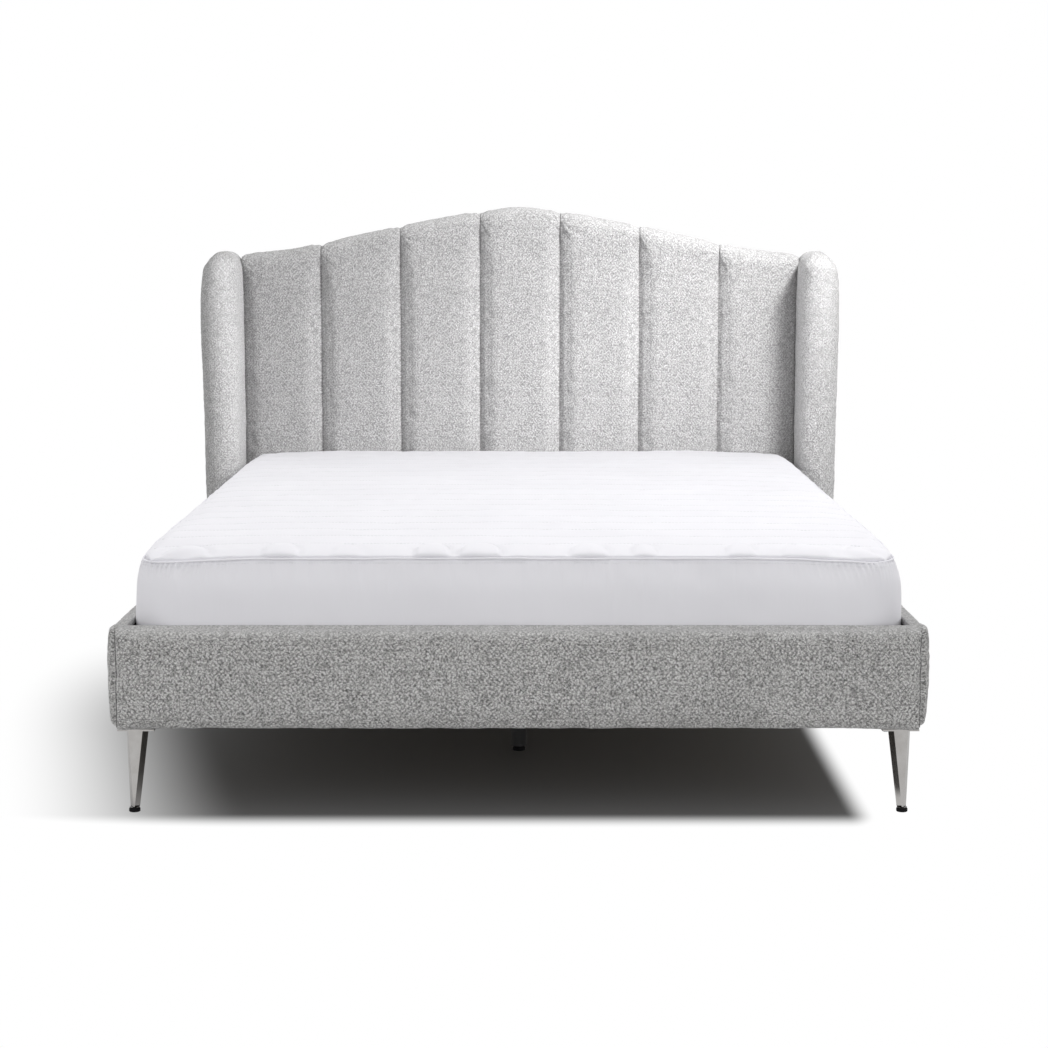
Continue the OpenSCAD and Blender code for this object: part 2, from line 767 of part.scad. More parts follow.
module wing_cover(left) {
    round_r = (wing_out - panel_x) / 2;
    straight_top = wing_h - round_r;
    color(BOUCLE_LIGHT) difference() {
        mirrored(left) difference() {
            skin(concat(
                [lift(wing_ring(0, wing_foot_r / 2), above_rail_z),
                 lift(wing_ring(0, 0), above_rail_z + wing_foot_r)],
                [for (s = WING_SHARES)
                    lift(wing_ring(s, 0), mix(above_rail_z, straight_top, s))],
                [for (a = WING_TOP_TURNS)
                    lift(wing_ring(1, round_r * (1 - cos(a))), straight_top + round_r * sin(a))]));
            wing_core_shape(1);
        }
        board_tabs();
        bracket_room();
    }
}

// Core of the right wing, a timber panel with a rounded front corner; the cut reaches below it
module wing_core_shape(below) {
    top = wing_h - wing_pad_top;
    front = wing_front_y + wing_pad_front;
    translate([wing_core_in, 0, 0]) rotate([90, 0, 90]) linear_extrude(wing_core_t)
        polygon(concat(
            [[front, above_rail_z - below], [panel_back_y, above_rail_z - below],
             [panel_back_y, top]],
            arc(front + wing_core_r, top - wing_core_r, wing_core_r, 90, 180, 6)));
}

module wing_core(left) {
    color(PINE) difference() {
        mirrored(left) wing_core_shape(0);
        wing_bracket_screws(hole_gap);
    }
}

bracket_places = [tab_z0 + bracket_h, tab_z1 - bracket_h];

// Room of the brackets, let into the back panel and the wings' padding
module bracket_room() {
    for (left = [true, false]) mirrored(left) for (z = bracket_places)
        translate([panel_x - bracket_w, panel_back_y, z - bracket_h / 2])
            cube([2 * bracket_w + wing_pad_in, bracket_t, bracket_h]);
}

module wing_brackets() {
    color(STEEL) difference() {
        bracket_room();
        wing_bracket_screws(hole_gap);
    }
}

// Countersunk screws whose heads end flush with the brackets
module wing_bracket_screws(gap) {
    for (left = [true, false]) mirrored(left) for (z = bracket_places)
        for (x = [panel_x - bracket_w / 2, wing_core_in + bracket_w / 2])
            for (side = [-1, 1])
                translate([x, panel_back_y + bracket_t, z + side * bracket_h * BRACKET_SCREW_SHARE])
                rotate([90, 0, 0]) {
                    cylinder(h = screw_l + gap, r = screw_r + gap, $fn = 32);
                    cylinder(h = bracket_t, r1 = screw_head_r + gap, r2 = screw_r + gap, $fn = 32);
                }
}

// Mattress and protector

// Outline of the mattress, drawn in by the inset; a negative inset goes outside it
function bed_ring(inset) =
    round_ring(-mattress_w / 2 + inset, mattress_w / 2 - inset, core_y0 + inset, core_y1 - inset,
        max(mattress_corner_r - inset, 10), 4);

function core_ring(s, outside) =
    lift(bed_ring(mattress_draw * edge_share(s) - outside), mattress_z + s * mattress_h);

module mattress_core() {
    color(TICKING) skin([for (s = soft_steps(CORE_STEPS)) core_ring(s, 0)]);
}

module protector_skirt() {
    color(COTTON) closed_skin(concat(
        [for (s = soft_steps(CORE_STEPS)) core_ring(s, skirt_t)],
        [for (s = soft_steps(CORE_STEPS)) core_ring(1 - s, 0)]));
}

module protector_top() {
    r = pad_t / 2;
    color(COTTON) skin(concat(
        [for (a = PAD_EDGE_TURNS)
            lift(bed_ring(r * (1 - cos(a)) - pad_over), mattress_top + r + r * sin(a))],
        [for (share = PAD_TOP_SHARES)
            lift(bed_ring(share * mattress_w / 2),
                mattress_top + pad_t + pad_crown * (1 - pow(1 - share, 2)))]));
}

// Piping that lies against the lower edge of the quilted top
module protector_piping() {
    reach = pad_t / 2 + piping_r + PIPING_SLACK;
    color(COTTON) closed_skin([for (a = PIPING_TURNS)
        lift(bed_ring(pad_t / 2 - pad_over - reach * cos(45) - piping_r * cos(a)),
            mattress_top + pad_t / 2 - reach * sin(45) + piping_r * sin(a))]);
}

foot_rail_board();
foot_rail_cover();
side_board(true);  // left_side_board
side_board(false);  // right_side_board
side_cover(true);  // left_side_cover
side_cover(false);  // right_side_cover
head_rail();
for (corner = CORNERS)
    corner_block(corner);
color(STEEL) corner_bolts(0);
ledger(true);  // left_ledger
ledger(false);  // right_ledger
color(STEEL) ledger_screws(0);
centre_beam();
centre_beam_brackets();
slats(true);  // left_slats
slats(false);  // right_slats
slat_holders(true);  // left_slat_holders
slat_holders(false);  // right_slat_holders
centre_slat_holders();
for (corner = CORNERS)
    leg(corner);
color(STEEL) leg_screws(0);
for (corner = CORNERS)
    glide(corner);
centre_leg(centre_leg_places[0]);  // front_centre_leg
centre_leg(centre_leg_places[1]);  // rear_centre_leg
color(STEEL) centre_leg_screws(0);
levelling_foot(centre_leg_places[0]);  // front_levelling_foot
levelling_foot(centre_leg_places[1]);  // rear_levelling_foot
headboard_board();
headboard_back_panel();
color(STEEL) headboard_bolts(0);
for (i = [1 : CHANNEL_COUNT])
    headboard_channel(i);
wing_core(true);  // left_wing_core
wing_core(false);  // right_wing_core
wing_cover(true);  // left_wing_cover
wing_cover(false);  // right_wing_cover
wing_brackets();
color(STEEL) wing_bracket_screws(0);
mattress_core();
protector_skirt();
protector_top();
protector_piping();
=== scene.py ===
import logging
import math
from dataclasses import dataclass, field
from enum import Enum
from typing import ClassVar, Sequence

import bmesh
import bpy
import numpy as np
from bpy.types import ID, Material, Mesh, Node, NodeSocket, NodeTree, Object
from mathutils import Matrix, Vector
from mathutils.bvhtree import BVHTree


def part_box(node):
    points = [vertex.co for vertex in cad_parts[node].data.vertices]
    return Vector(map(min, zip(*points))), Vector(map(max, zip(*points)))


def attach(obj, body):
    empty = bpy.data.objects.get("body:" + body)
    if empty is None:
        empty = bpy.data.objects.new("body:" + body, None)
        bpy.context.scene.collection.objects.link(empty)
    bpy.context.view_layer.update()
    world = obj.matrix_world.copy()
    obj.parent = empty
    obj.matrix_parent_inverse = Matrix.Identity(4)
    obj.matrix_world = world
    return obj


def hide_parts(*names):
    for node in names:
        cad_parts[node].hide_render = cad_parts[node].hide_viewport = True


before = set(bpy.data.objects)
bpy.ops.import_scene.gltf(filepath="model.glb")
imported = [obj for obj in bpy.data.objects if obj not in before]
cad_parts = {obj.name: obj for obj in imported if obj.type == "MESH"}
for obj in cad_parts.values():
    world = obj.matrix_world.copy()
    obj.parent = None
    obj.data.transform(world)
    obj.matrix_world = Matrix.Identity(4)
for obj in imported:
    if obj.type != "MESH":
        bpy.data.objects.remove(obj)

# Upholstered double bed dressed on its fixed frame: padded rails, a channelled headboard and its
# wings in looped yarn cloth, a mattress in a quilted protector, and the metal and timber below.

log = logging.getLogger("bed")

Array = np.ndarray
Colour = tuple[float, float, float]

# Names that the meshes carry
SHOWN = "shown"
# Attribute of how far the cloth is paled: rubbed wear, and painted highlight where light catches the
# edges.
RUB_AND_HIGHLIGHT = "rubbed"
CLOTH_UV = "Cloth"
SEWN = "sewn"

# Distance at which points merge, error of a rounded number, usual length of a face in metres, and
# how far cloth shows at the least where it isn't sewn down
MERGE = 1e-5
ROUNDING = 1e-6
CELL = 0.014
SEWN_DOWN = 0.5

# Numbers that scramble a lattice into even noise
AXIS_PRIMES = (73856093, 19349663, 83492791)
SEED_PRIME = 2654435761
SCRAMBLES = ((15, 2246822519), (13, 3266489917))
WORD = 0xFFFFFFFF
LEVELS = 0xFFFF


class Side(Enum):
    """Left and right of the bed, seen from its foot."""

    LEFT = -1
    RIGHT = 1


class Grain(Enum):
    """Direction in which a piece of timber was sawn."""

    ACROSS = "X"
    ALONG = "Y"
    UPRIGHT = "Z"


# Numbers and outlines

def box(node: str) -> tuple[Array, Array]:
    """Gives the lowest and highest corners of a node of the frame, in metres."""
    low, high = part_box(node)
    return np.array(low), np.array(high)


def sides(node: str) -> tuple[float, ...]:
    """Gives how far the inner and the outer side of a node are from the bed's middle line."""
    low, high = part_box(node)
    return tuple(sorted((abs(low[0]), abs(high[0]))))


def smooth(values: Array, start: float, end: float) -> Array:
    """Share for each value that rises smoothly from 0 at the start to 1 at the end."""
    share = np.clip((values - start) / (end - start), 0, 1)
    return share * share * (3 - 2 * share)


def cell_values(cells: Array, seed: int) -> Array:
    """Gives a repeatable number to each cell of a lattice.

    Args:
        cells: Whole-numbered places of the cells.
        seed: Number that picks one pattern among many.

    Returns:
        Values from -1 to 1.
    """
    mixed = np.bitwise_xor.reduce(cells.astype(np.int64) * np.array(AXIS_PRIMES), axis=-1)
    mixed = (mixed ^ (seed * SEED_PRIME)) & WORD
    for shift, prime in SCRAMBLES:
        mixed = ((mixed ^ (mixed >> shift)) * prime) & WORD
    return ((mixed >> 8) & LEVELS) / (LEVELS / 2) - 1


def ripple(points: Array, size: float, seed: int) -> Array:
    """Smooth repeatable unevenness.

    Args:
        points: Places to look up, in metres.
        size: Width of one swelling.
        seed: Number that picks one pattern among many.

    Returns:
        Values from -1 to 1.
    """
    scaled = points / size
    base = np.floor(scaled)
    share = smooth(scaled - base, 0, 1)
    total = np.zeros(points.shape[:-1])
    for corner in np.ndindex(2, 2, 2):
        weight = np.prod(np.where(np.array(corner) == 1, share, 1 - share), axis=-1)
        total += weight * cell_values(base + np.array(corner), seed)
    return total


@dataclass(frozen=True)
class Unevenness:
    """Swellings of one height and size, with a pattern of their own."""

    height: float
    size: float
    pattern: int = 0
    stretch: tuple[float, float, float] = (1, 1, 1)

    def at(self, points: Array, seed: int) -> Array:
        """Height at each point of a piece that has this seed."""
        return self.height * ripple(points * np.array(self.stretch), self.size, seed + self.pattern)


def span(start: Sequence[float], end: Sequence[float], count: int) -> Array:
    """Points along a straight line in a number of equal steps, both ends among them."""
    a, b = np.array(start, float), np.array(end, float)
    return a + (b - a) * np.linspace(0, 1, count + 1)[:, None]


def line(start: Sequence[float], end: Sequence[float], step: float = CELL) -> Array:
    """Points along a straight line, no further apart than the step.

    Args:
        start: First point.
        end: Last point.
        step: Greatest distance between points.

    Returns:
        The points, both ends among them.
    """
    distance = float(np.linalg.norm(np.array(end, float) - np.array(start, float)))
    return span(start, end, max(1, math.ceil(distance / step - ROUNDING)))


def arc(centre: Sequence[float], radius: float, turn0: float, turn1: float, count: int) -> Array:
    """Points of an arc from one angle to another.

    Args:
        centre: Middle of the arc.
        radius: Its radius.
        turn0: First angle in degrees.
        turn1: Last angle in degrees.
        count: Number of steps.

    Returns:
        The points, both ends among them.
    """
    turns = np.radians(np.linspace(turn0, turn1, count + 1))
    return np.array(centre) + radius * np.stack([np.cos(turns), np.sin(turns)], axis=1)


def join(*parts: Array) -> Array:
    """Joins stretches of an outline, each of which starts where the last one ended."""
    return np.concatenate([parts[0]] + [part[1:] for part in parts[1:]])


def raised(plan: Array, height: float) -> Array:
    """Points of a plan at one height."""
    return np.column_stack([plan, np.full(len(plan), height)])


def run_lengths(points: Array) -> Array:
    """Length from the first point to each point along the first axis."""
    steps = np.linalg.norm(np.diff(points, axis=0), axis=-1)
    return np.concatenate([np.zeros((1,) + steps.shape[1:]), np.cumsum(steps, axis=0)])


# Meshes

def new_object(name: str, data: ID) -> Object:
    """Makes an object.

    Args:
        name: Name of the object.
        data: Mesh, lamp or camera that it shows.

    Returns:
        The object, linked to the scene.
    """
    piece = bpy.data.objects.new(name, data)
    bpy.context.scene.collection.objects.link(piece)
    return piece


class Draft:
    """Mesh in the making: grids and caps whose corners are merged where they meet."""

    def __init__(self) -> None:
        """Starts with nothing in it."""
        self.points: list[Array] = []
        self.uvs: list[Array] = []
        self.shown: list[Array] = []
        self.faces: list[tuple[int, ...]] = []

    def store(self, points: Array, uvs: Array, shown: Array) -> int:
        """Keeps points and says where they start.

        Args:
            points: Places in metres, one row each.
            uvs: Places on the cloth in metres.
            shown: 1 where the cloth shows and 0 where it is sewn down or out of sight.

        Returns:
            Number of the first of these points.
        """
        start = sum(len(part) for part in self.points)
        self.points.append(points)
        self.uvs.append(uvs)
        self.shown.append(shown)
        return start

    def grid(self, points: Array, shown: Array, uvs: Array | None = None) -> Array:
        """Adds a grid of four-sided faces.

        Args:
            points: Grid of places, rows by columns.
            shown: Matching grid of 1 where the cloth shows and 0 elsewhere.
            uvs: Matching grid of places on the cloth; measured along the rows and columns if left out.

        Returns:
            Numbers of the grid's points.
        """
        rows, columns = points.shape[:2]
        if uvs is None:
            across = run_lengths(points.swapaxes(0, 1)).swapaxes(0, 1)
            along = run_lengths(points)
            middle = along[:, int(np.argmax(shown.sum(axis=0)))]
            reference = across[rows // 2]
            uvs = np.stack(np.broadcast_arrays(middle[:, None], reference[None, :]), axis=-1)
        start = self.store(points.reshape(-1, 3), uvs.reshape(-1, 2), shown.reshape(-1))
        ids = start + np.arange(rows * columns).reshape(rows, columns)
        quads = np.stack([ids[:-1, :-1], ids[:-1, 1:], ids[1:, 1:], ids[1:, :-1]], axis=-1)
        self.faces.extend(tuple(quad) for quad in quads.reshape(-1, 4).tolist())
        return ids

    def cap(self, first: Array, second: Array, turned: bool) -> None:
        """Closes the band between two lines of points, whichever has more of them.

        Args:
            first: Numbers of the points of one line.
            second: Numbers of the points of the line beside it, in the same direction.
            turned: Whether the faces are turned over.
        """
        places = np.concatenate(self.points)
        i, j = 0, 0
        while i < len(first) - 1 or j < len(second) - 1:
            step_first = step_second = math.inf
            if i < len(first) - 1:
                step_first = np.linalg.norm(places[first[i + 1]] - places[second[j]])
            if j < len(second) - 1:
                step_second = np.linalg.norm(places[first[i]] - places[second[j + 1]])
            if step_first <= step_second:
                face = (first[i], first[i + 1], second[j])
                i += 1
            else:
                face = (first[i], second[j + 1], second[j])
                j += 1
            self.faces.append(tuple(int(k) for k in (face[::-1] if turned else face)))

    def fan(self, ring: Array, centre: Array) -> None:
        """Closes a ring of points with triangles that meet at a centre out of sight.

        Args:
            ring: Numbers of the ring's points.
            centre: Place of the centre.
        """
        middle = self.store(centre[None, :], np.zeros((1, 2)), np.zeros(1))
        for a, b in zip(ring, np.roll(ring, -1)):
            self.faces.append((int(b), int(a), middle))

    def finish(self, name: str) -> Object:
        """Makes the object: merged, facing outwards, with its cloth map and creased hidden edges.

        Args:
            name: Name of the piece.

        Returns:
            The new object, linked to the scene.
        """
        mesh = bpy.data.meshes.new(name)
        mesh.from_pydata(np.concatenate(self.points).tolist(), [], self.faces)
        corners = np.fromiter((k for face in self.faces for k in face), dtype=np.int64)
        layer = mesh.uv_layers.new(name=CLOTH_UV)
        layer.data.foreach_set("uv", np.concatenate(self.uvs)[corners].astype(np.float32).ravel())
        shown = mesh.attributes.new(SHOWN, "FLOAT", "POINT")
        shown.data.foreach_set("value", np.concatenate(self.shown).astype(np.float32))
        work = bmesh.new()
        work.from_mesh(mesh)
        bmesh.ops.remove_doubles(work, verts=work.verts, dist=MERGE)
        if work.calc_volume(signed=True) < 0:
            bmesh.ops.reverse_faces(work, faces=work.faces)
        weights = work.verts.layers.float[SHOWN]
        crease = work.edges.layers.float.new("crease_edge")
        for edge in work.edges:
            if max(vert[weights] for vert in edge.verts) < SEWN_DOWN:
                edge[crease] = 1.0
        work.to_mesh(mesh)
        work.free()
        mesh.polygons.foreach_set("use_smooth", [True] * len(mesh.polygons))
        return new_object(name, mesh)


def capped(rings: Sequence[Array], outside: int) -> Draft:
    """Draws a piece from rings and closes its two ends.

    Args:
        rings: Points of each ring, first those of its outside and then the hidden ones.
        outside: How many points of each ring are on its outside.

    Returns:
        The draft.
    """
    points = np.array(rings)
    shown = np.ones(points.shape[:2])
    shown[:, outside - 1:] = 0
    shown[:, 0] = 0
    shown[0] = shown[-1] = 0
    sketch = Draft()
    ids = sketch.grid(points, shown)
    for row, turned in ((ids[0], True), (ids[-1], False)):
        sketch.cap(row[:outside], row[outside - 1:][::-1], turned)
    return sketch


def coordinates(mesh: Mesh, what: str = "co") -> Array:
    """Reads the places or normals of a mesh's points as rows of three."""
    values = np.empty(len(mesh.vertices) * 3, dtype=np.float32)
    mesh.vertices.foreach_get(what, values)
    return values.reshape(-1, 3).astype(float)


def set_coordinates(mesh: Mesh, points: Array) -> None:
    """Moves a mesh's points to the places given."""
    mesh.vertices.foreach_set("co", points.astype(np.float32).ravel())
    mesh.update()


def shown_weights(mesh: Mesh) -> Array:
    """Reads how far the cloth shows at each point."""
    values = np.empty(len(mesh.vertices), dtype=np.float32)
    mesh.attributes[SHOWN].data.foreach_get("value", values)
    return values.astype(float)


def settle(piece: Object) -> None:
    """Turns an object with modifiers into a plain mesh.

    Args:
        piece: Object whose modifiers are applied and removed.
    """
    graph = bpy.context.evaluated_depsgraph_get()
    graph.update()
    mesh = bpy.data.meshes.new_from_object(piece.evaluated_get(graph), depsgraph=graph)
    old = piece.data
    piece.modifiers.clear()
    piece.data = mesh
    bpy.data.meshes.remove(old)
    mesh.name = piece.name


def subdivide(piece: Object, levels: int) -> None:
    """Rounds a piece off with finer faces.

    Args:
        piece: Object to subdivide.
        levels: How many times each face is split in four.
    """
    finer = piece.modifiers.new("finer", "SUBSURF")
    finer.levels = levels
    finer.render_levels = levels
    settle(piece)


@dataclass(frozen=True)
class Swelling:
    """How the padding pushes its cloth out, and how far it may go."""

    pressure: float = 4.0
    slack: float = 0.01
    most: float = 0.005
    stiffness: float = 12.0
    bending: float = 0.3
    mass: float = 0.3
    quality: int = 4
    last_frame: int = 20

    def start(self, piece: Object) -> None:
        """Gives a piece its cloth, held where it is sewn down.

        Args:
            piece: Object whose hidden points stay where they are.
        """
        weights = shown_weights(piece.data)
        group = piece.vertex_groups.new(name=SEWN)
        group.add(np.flatnonzero(weights < SEWN_DOWN).tolist(), 1.0, "REPLACE")
        cloth = piece.modifiers.new("padding", "CLOTH")
        settings = cloth.settings
        settings.quality = self.quality
        settings.mass = self.mass
        settings.tension_stiffness = self.stiffness
        settings.compression_stiffness = self.stiffness
        settings.shear_stiffness = self.stiffness / 2
        settings.bending_stiffness = self.bending
        settings.use_pressure = True
        settings.uniform_pressure_force = self.pressure
        settings.shrink_min = -self.slack
        settings.vertex_group_mass = SEWN
        settings.effector_weights.gravity = 0.0
        cloth.point_cache.frame_start = 1
        cloth.point_cache.frame_end = self.last_frame

    def finish(self, piece: Object) -> None:
        """Keeps the swollen shape, no further out than allowed.

        Args:
            piece: Object whose cloth has been run.
        """
        graph = bpy.context.evaluated_depsgraph_get()
        swollen = coordinates(piece.evaluated_get(graph).data)
        rest = coordinates(piece.data)
        moves = swollen - rest
        lengths = np.linalg.norm(moves, axis=1, keepdims=True)
        limited = moves * np.minimum(1, self.most / np.maximum(lengths, ROUNDING))
        log.info("%s swells by up to %.1f mm", piece.name, 1000 * min(self.most, float(lengths.max())))
        piece.modifiers.clear()
        piece.vertex_groups.clear()
        set_coordinates(piece.data, rest + limited)


def run_cloth(last_frame: int) -> None:
    """Steps the scene through the cloth simulation, up to the frame whose shapes are kept."""
    for number in range(1, last_frame + 1):
        bpy.context.scene.frame_set(number)


# Node trees

class Tree:
    """Node tree under construction, with short ways to add its nodes."""

    def __init__(self, tree: NodeTree) -> None:
        """Takes a tree to build in."""
        self.tree = tree

    def feed(self, socket: NodeSocket, value: object) -> None:
        """Gives an input an output to follow, or a colour, number or place to keep."""
        if isinstance(value, NodeSocket):
            self.tree.links.new(value, socket)
        elif socket.type == "RGBA":
            socket.default_value = (*value, 1.0)
        else:
            socket.default_value = value

    def add(self, kind: str, **settings: object) -> Node:
        """Adds a node.

        Args:
            kind: Blender's name of the node.
            settings: The node's own options by their small names, then its inputs by their capital
                ones, with underscores for spaces.

        Returns:
            The new node.
        """
        node = self.tree.nodes.new(kind)
        for name, value in settings.items():
            if name[0].islower():
                setattr(node, name, value)
            else:
                self.feed(node.inputs[name.replace("_", " ")], value)
        return node

    def calculate(self, operation: str, *values: object) -> NodeSocket:
        """Adds one step of arithmetic on numbers or outputs."""
        node = self.add("ShaderNodeMath", operation=operation)
        for socket, value in zip(node.inputs, values):
            self.feed(socket, value)
        return node.outputs[0]

    def spread(self, value: NodeSocket, low: float, high: float, to_low: float = 0.0,
               to_high: float = 1.0, kind: str = "LINEAR") -> NodeSocket:
        """Stretches the range from low to high over another one, from a low to a high end."""
        node = self.add("ShaderNodeMapRange", interpolation_type=kind, Value=value, From_Min=low,
                        From_Max=high, To_Min=to_low, To_Max=to_high)
        return node.outputs["Result"]

    def mixed(self, share: NodeSocket, first: NodeSocket, second: NodeSocket) -> NodeSocket:
        """Mixes two shaders by a share."""
        node = self.add("ShaderNodeMixShader")
        for socket, value in zip(node.inputs, (share, first, second)):
            self.feed(socket, value)
        return node.outputs[0]


# Finishes

class Recipe(Tree):
    """Tree of one material, which looks up places in the piece or on its cloth."""

    def __init__(self, name: str, source: str = "Object") -> None:
        """Starts the tree with its shader and output.

        Args:
            name: Name of the material.
            source: Object for places in the piece, or UV for places on its cloth.
        """
        self.material = bpy.data.materials.new(name)
        self.material.use_nodes = True
        super().__init__(self.material.node_tree)
        self.tree.nodes.clear()
        self.shader = self.add("ShaderNodeBsdfPrincipled")
        self.output = self.add("ShaderNodeOutputMaterial", Surface=self.shader.outputs["BSDF"])
        if source == "UV":
            self.place = self.add("ShaderNodeUVMap", uv_map=CLOTH_UV).outputs["UV"]
        else:
            self.place = self.add("ShaderNodeTexCoord").outputs["Object"]

    def placed(self, size: float | Sequence[float], turn: Sequence[float] = (0, 0, 0),
               shift: Sequence[float] = (0, 0, 0)) -> NodeSocket:
        """Measures places in units of the size, along turned axes.

        Args:
            size: Length of one unit, or one for each axis, in metres.
            turn: Angles of the axes in degrees.
            shift: Place of the origin.

        Returns:
            The mapped place.
        """
        mapping = self.add("ShaderNodeMapping", vector_type="TEXTURE", Vector=self.place, Location=shift,
                           Rotation=[math.radians(angle) for angle in turn],
                           Scale=tuple(np.broadcast_to(size, 3).tolist()))
        return mapping.outputs["Vector"]

    def noise(self, size: float | Sequence[float], detail: float = 2.0,
              distortion: float = 0.0) -> NodeSocket:
        """Soft noise whose swellings have the size, in metres."""
        node = self.add("ShaderNodeTexNoise", Vector=self.placed(size), Scale=1.0, Detail=detail,
                        Distortion=distortion)
        return node.outputs["Fac"]

    def blend(self, share: object, first: object, second: object, way: str = "MIX") -> NodeSocket:
        """Mixes two colours or outputs by a share."""
        node = self.add("ShaderNodeMix", data_type="RGBA", blend_type=way)
        for number, value in ((0, share), (6, first), (7, second)):
            self.feed(node.inputs[number], value)
        return node.outputs[2]

    def set(self, **values: object) -> None:
        """Sets the shader's own inputs to numbers, colours or outputs."""
        for name, value in values.items():
            self.feed(self.shader.inputs[name.replace("_", " ")], value)

    def relief(self, height: NodeSocket, depth: float, strength: float = 1.0) -> None:
        """Raises the surface's shading by a height.

        Args:
            height: Height from 0 to 1.
            depth: Distance in metres that the height stands for.
            strength: Share of it that is used.
        """
        bump = self.add("ShaderNodeBump", Height=height, Distance=depth, Strength=strength)
        self.set(Normal=bump.outputs["Normal"])


class Finish:
    """Look of a surface, whose patterns lie in the piece or on its cloth."""

    name: str
    SOURCE: ClassVar[str] = "Object"

    def mix(self, recipe: Recipe) -> None:
        """Mixes the look in a material's tree; each finish has its own."""
        raise NotImplementedError

    def make(self) -> Material:
        """Makes the material."""
        recipe = Recipe(self.name, self.SOURCE)
        self.mix(recipe)
        return recipe.material


@dataclass(frozen=True)
class Boucle(Finish):
    """Looped yarn cloth: short strokes of pale yarn that slant both ways over a darker base, which is
    painted shade in the crevices between the loops.
    """

    name: str = "boucle"
    # Colour low between the loops: painted shade of the crevices.
    ground: Colour = (0.105, 0.103, 0.101)
    yarn: Colour = (0.62, 0.612, 0.604)
    bright: Colour = (0.95, 0.945, 0.94)
    stroke: tuple[float, float] = (0.0070, 0.0018)
    slant: float = 42.0
    apart: float = 0.31
    patch: float = 0.010
    fuzz: float = 0.0016
    # Paleness where the cloth is rubbed and where light catches its edges: wear and painted highlight.
    rub_patch: float = 0.03
    rub_share: float = 0.34
    wear_patch: float = 0.16
    depth: float = 0.0016

    SOURCE: ClassVar[str] = "UV"

    def strokes(self, recipe: Recipe, slant: float, shift: float) -> NodeSocket:
        """Lays strokes in one direction.

        Args:
            recipe: Material under construction.
            slant: Slant of the strokes in degrees.
            shift: Offset that keeps two layers apart.

        Returns:
            Height of the strokes.
        """
        place = recipe.placed((*self.stroke, 1.0), (0, 0, slant), (shift, shift, 0))
        cells = recipe.add("ShaderNodeTexVoronoi", voronoi_dimensions="2D", Vector=place, Scale=1.0,
                           Randomness=0.65)
        round_back = recipe.spread(cells.outputs["Distance"], 0.62, 0.1)
        level = recipe.spread(cells.outputs["Color"], 0.0, 1.0, 0.6, 1.0)
        return recipe.calculate("MULTIPLY", round_back, level)

    def mix(self, recipe: Recipe) -> None:
        """Mixes the look in a material's tree."""
        lift = recipe.spread(recipe.noise(self.patch, 1), 0.42, 0.58, -0.5, 0.5)
        rising = recipe.calculate("ADD", self.strokes(recipe, self.slant, 0.0), lift)
        falling = recipe.calculate("SUBTRACT", self.strokes(recipe, -self.slant, self.apart), lift)
        height = recipe.calculate("MULTIPLY_ADD", recipe.noise(self.fuzz), 0.4,
                                  recipe.calculate("MAXIMUM", rising, falling))
        # Low parts of the height take the dark colour as painted crevice shade.
        colour = recipe.blend(recipe.spread(height, 0.4, 1.15), self.ground, self.yarn)
        colour = recipe.blend(recipe.spread(height, 1.08, 1.5), colour, self.bright)
        # Paler where the mesh says: wear, and painted highlight along edges that catch the light.
        rubbed = recipe.add("ShaderNodeAttribute", attribute_name=RUB_AND_HIGHLIGHT).outputs["Fac"]
        patchy = recipe.spread(recipe.noise(self.rub_patch), 0.3, 0.7, 0.5, 1.0)
        pale_rub_and_highlight = recipe.calculate("MULTIPLY", rubbed, recipe.calculate("MULTIPLY", patchy, self.rub_share))
        worn = recipe.spread(recipe.noise(self.wear_patch), 0.35, 0.65, 0.94, 1.0)
        colour = recipe.blend(1.0, recipe.blend(pale_rub_and_highlight, colour, self.bright), worn, "MULTIPLY")
        recipe.set(Base_Color=colour, Roughness=0.95, Sheen_Weight=0.2, Sheen_Roughness=0.5,
                   Specular_IOR_Level=0.15)
        recipe.relief(height, self.depth, 0.8)


@dataclass(frozen=True)
class Cotton(Finish):
    """White cotton jersey with a fine knit and faint uneven tension."""

    name: str = "cotton"
    colour: Colour = (0.825, 0.818, 0.853)
    shade: Colour = (0.795, 0.788, 0.823)
    knit: float = 0.006908
    cloud: float = 0.25
    pull: tuple[float, float, float] = (0.09, 0.02, 0.05)
    depth: float = 0.0012

    SOURCE: ClassVar[str] = "UV"

    def mix(self, recipe: Recipe) -> None:
        """Mixes the look in a material's tree."""
        wales, courses = (
            recipe.add("ShaderNodeTexWave", Vector=recipe.placed(self.knit, (0, 0, turn)), Scale=scale,
                       Distortion=0.6, Detail=1.0).outputs["Fac"] for turn, scale in ((0, 1.0), (90, 0.8)))
        knit = recipe.calculate("MULTIPLY", wales, courses)
        height = recipe.calculate("MULTIPLY_ADD", knit, 0.25, recipe.noise(self.pull, 3))
        shade = recipe.spread(recipe.noise(self.cloud), 0.3, 0.7)
        recipe.set(Base_Color=recipe.blend(shade, self.shade, self.colour), Roughness=0.82,
                   Sheen_Weight=0.2, Sheen_Roughness=0.4, Specular_IOR_Level=0.3)
        recipe.relief(height, self.depth, 0.35)


@dataclass(frozen=True)
class Ticking(Finish):
    """Woven mattress cloth with narrow self-coloured stripes."""

    name: str = "ticking"
    colour: Colour = (0.80, 0.80, 0.82)
    stripe: Colour = (0.66, 0.67, 0.71)
    stripe_size: float = 0.07536
    weave: tuple[float, float, float] = (0.0012, 0.0024, 0.0012)
    depth: float = 0.0006

    def mix(self, recipe: Recipe) -> None:
        """Mixes the look in a material's tree."""
        stripes = recipe.add("ShaderNodeTexWave", Vector=recipe.placed(self.stripe_size), Scale=1.0)
        edge = recipe.spread(stripes.outputs["Fac"], 0.72, 0.8)
        recipe.set(Base_Color=recipe.blend(edge, self.colour, self.stripe), Roughness=0.85,
                   Sheen_Weight=0.1)
        recipe.relief(recipe.calculate("MULTIPLY_ADD", edge, 0.4, recipe.noise(self.weave)), self.depth)


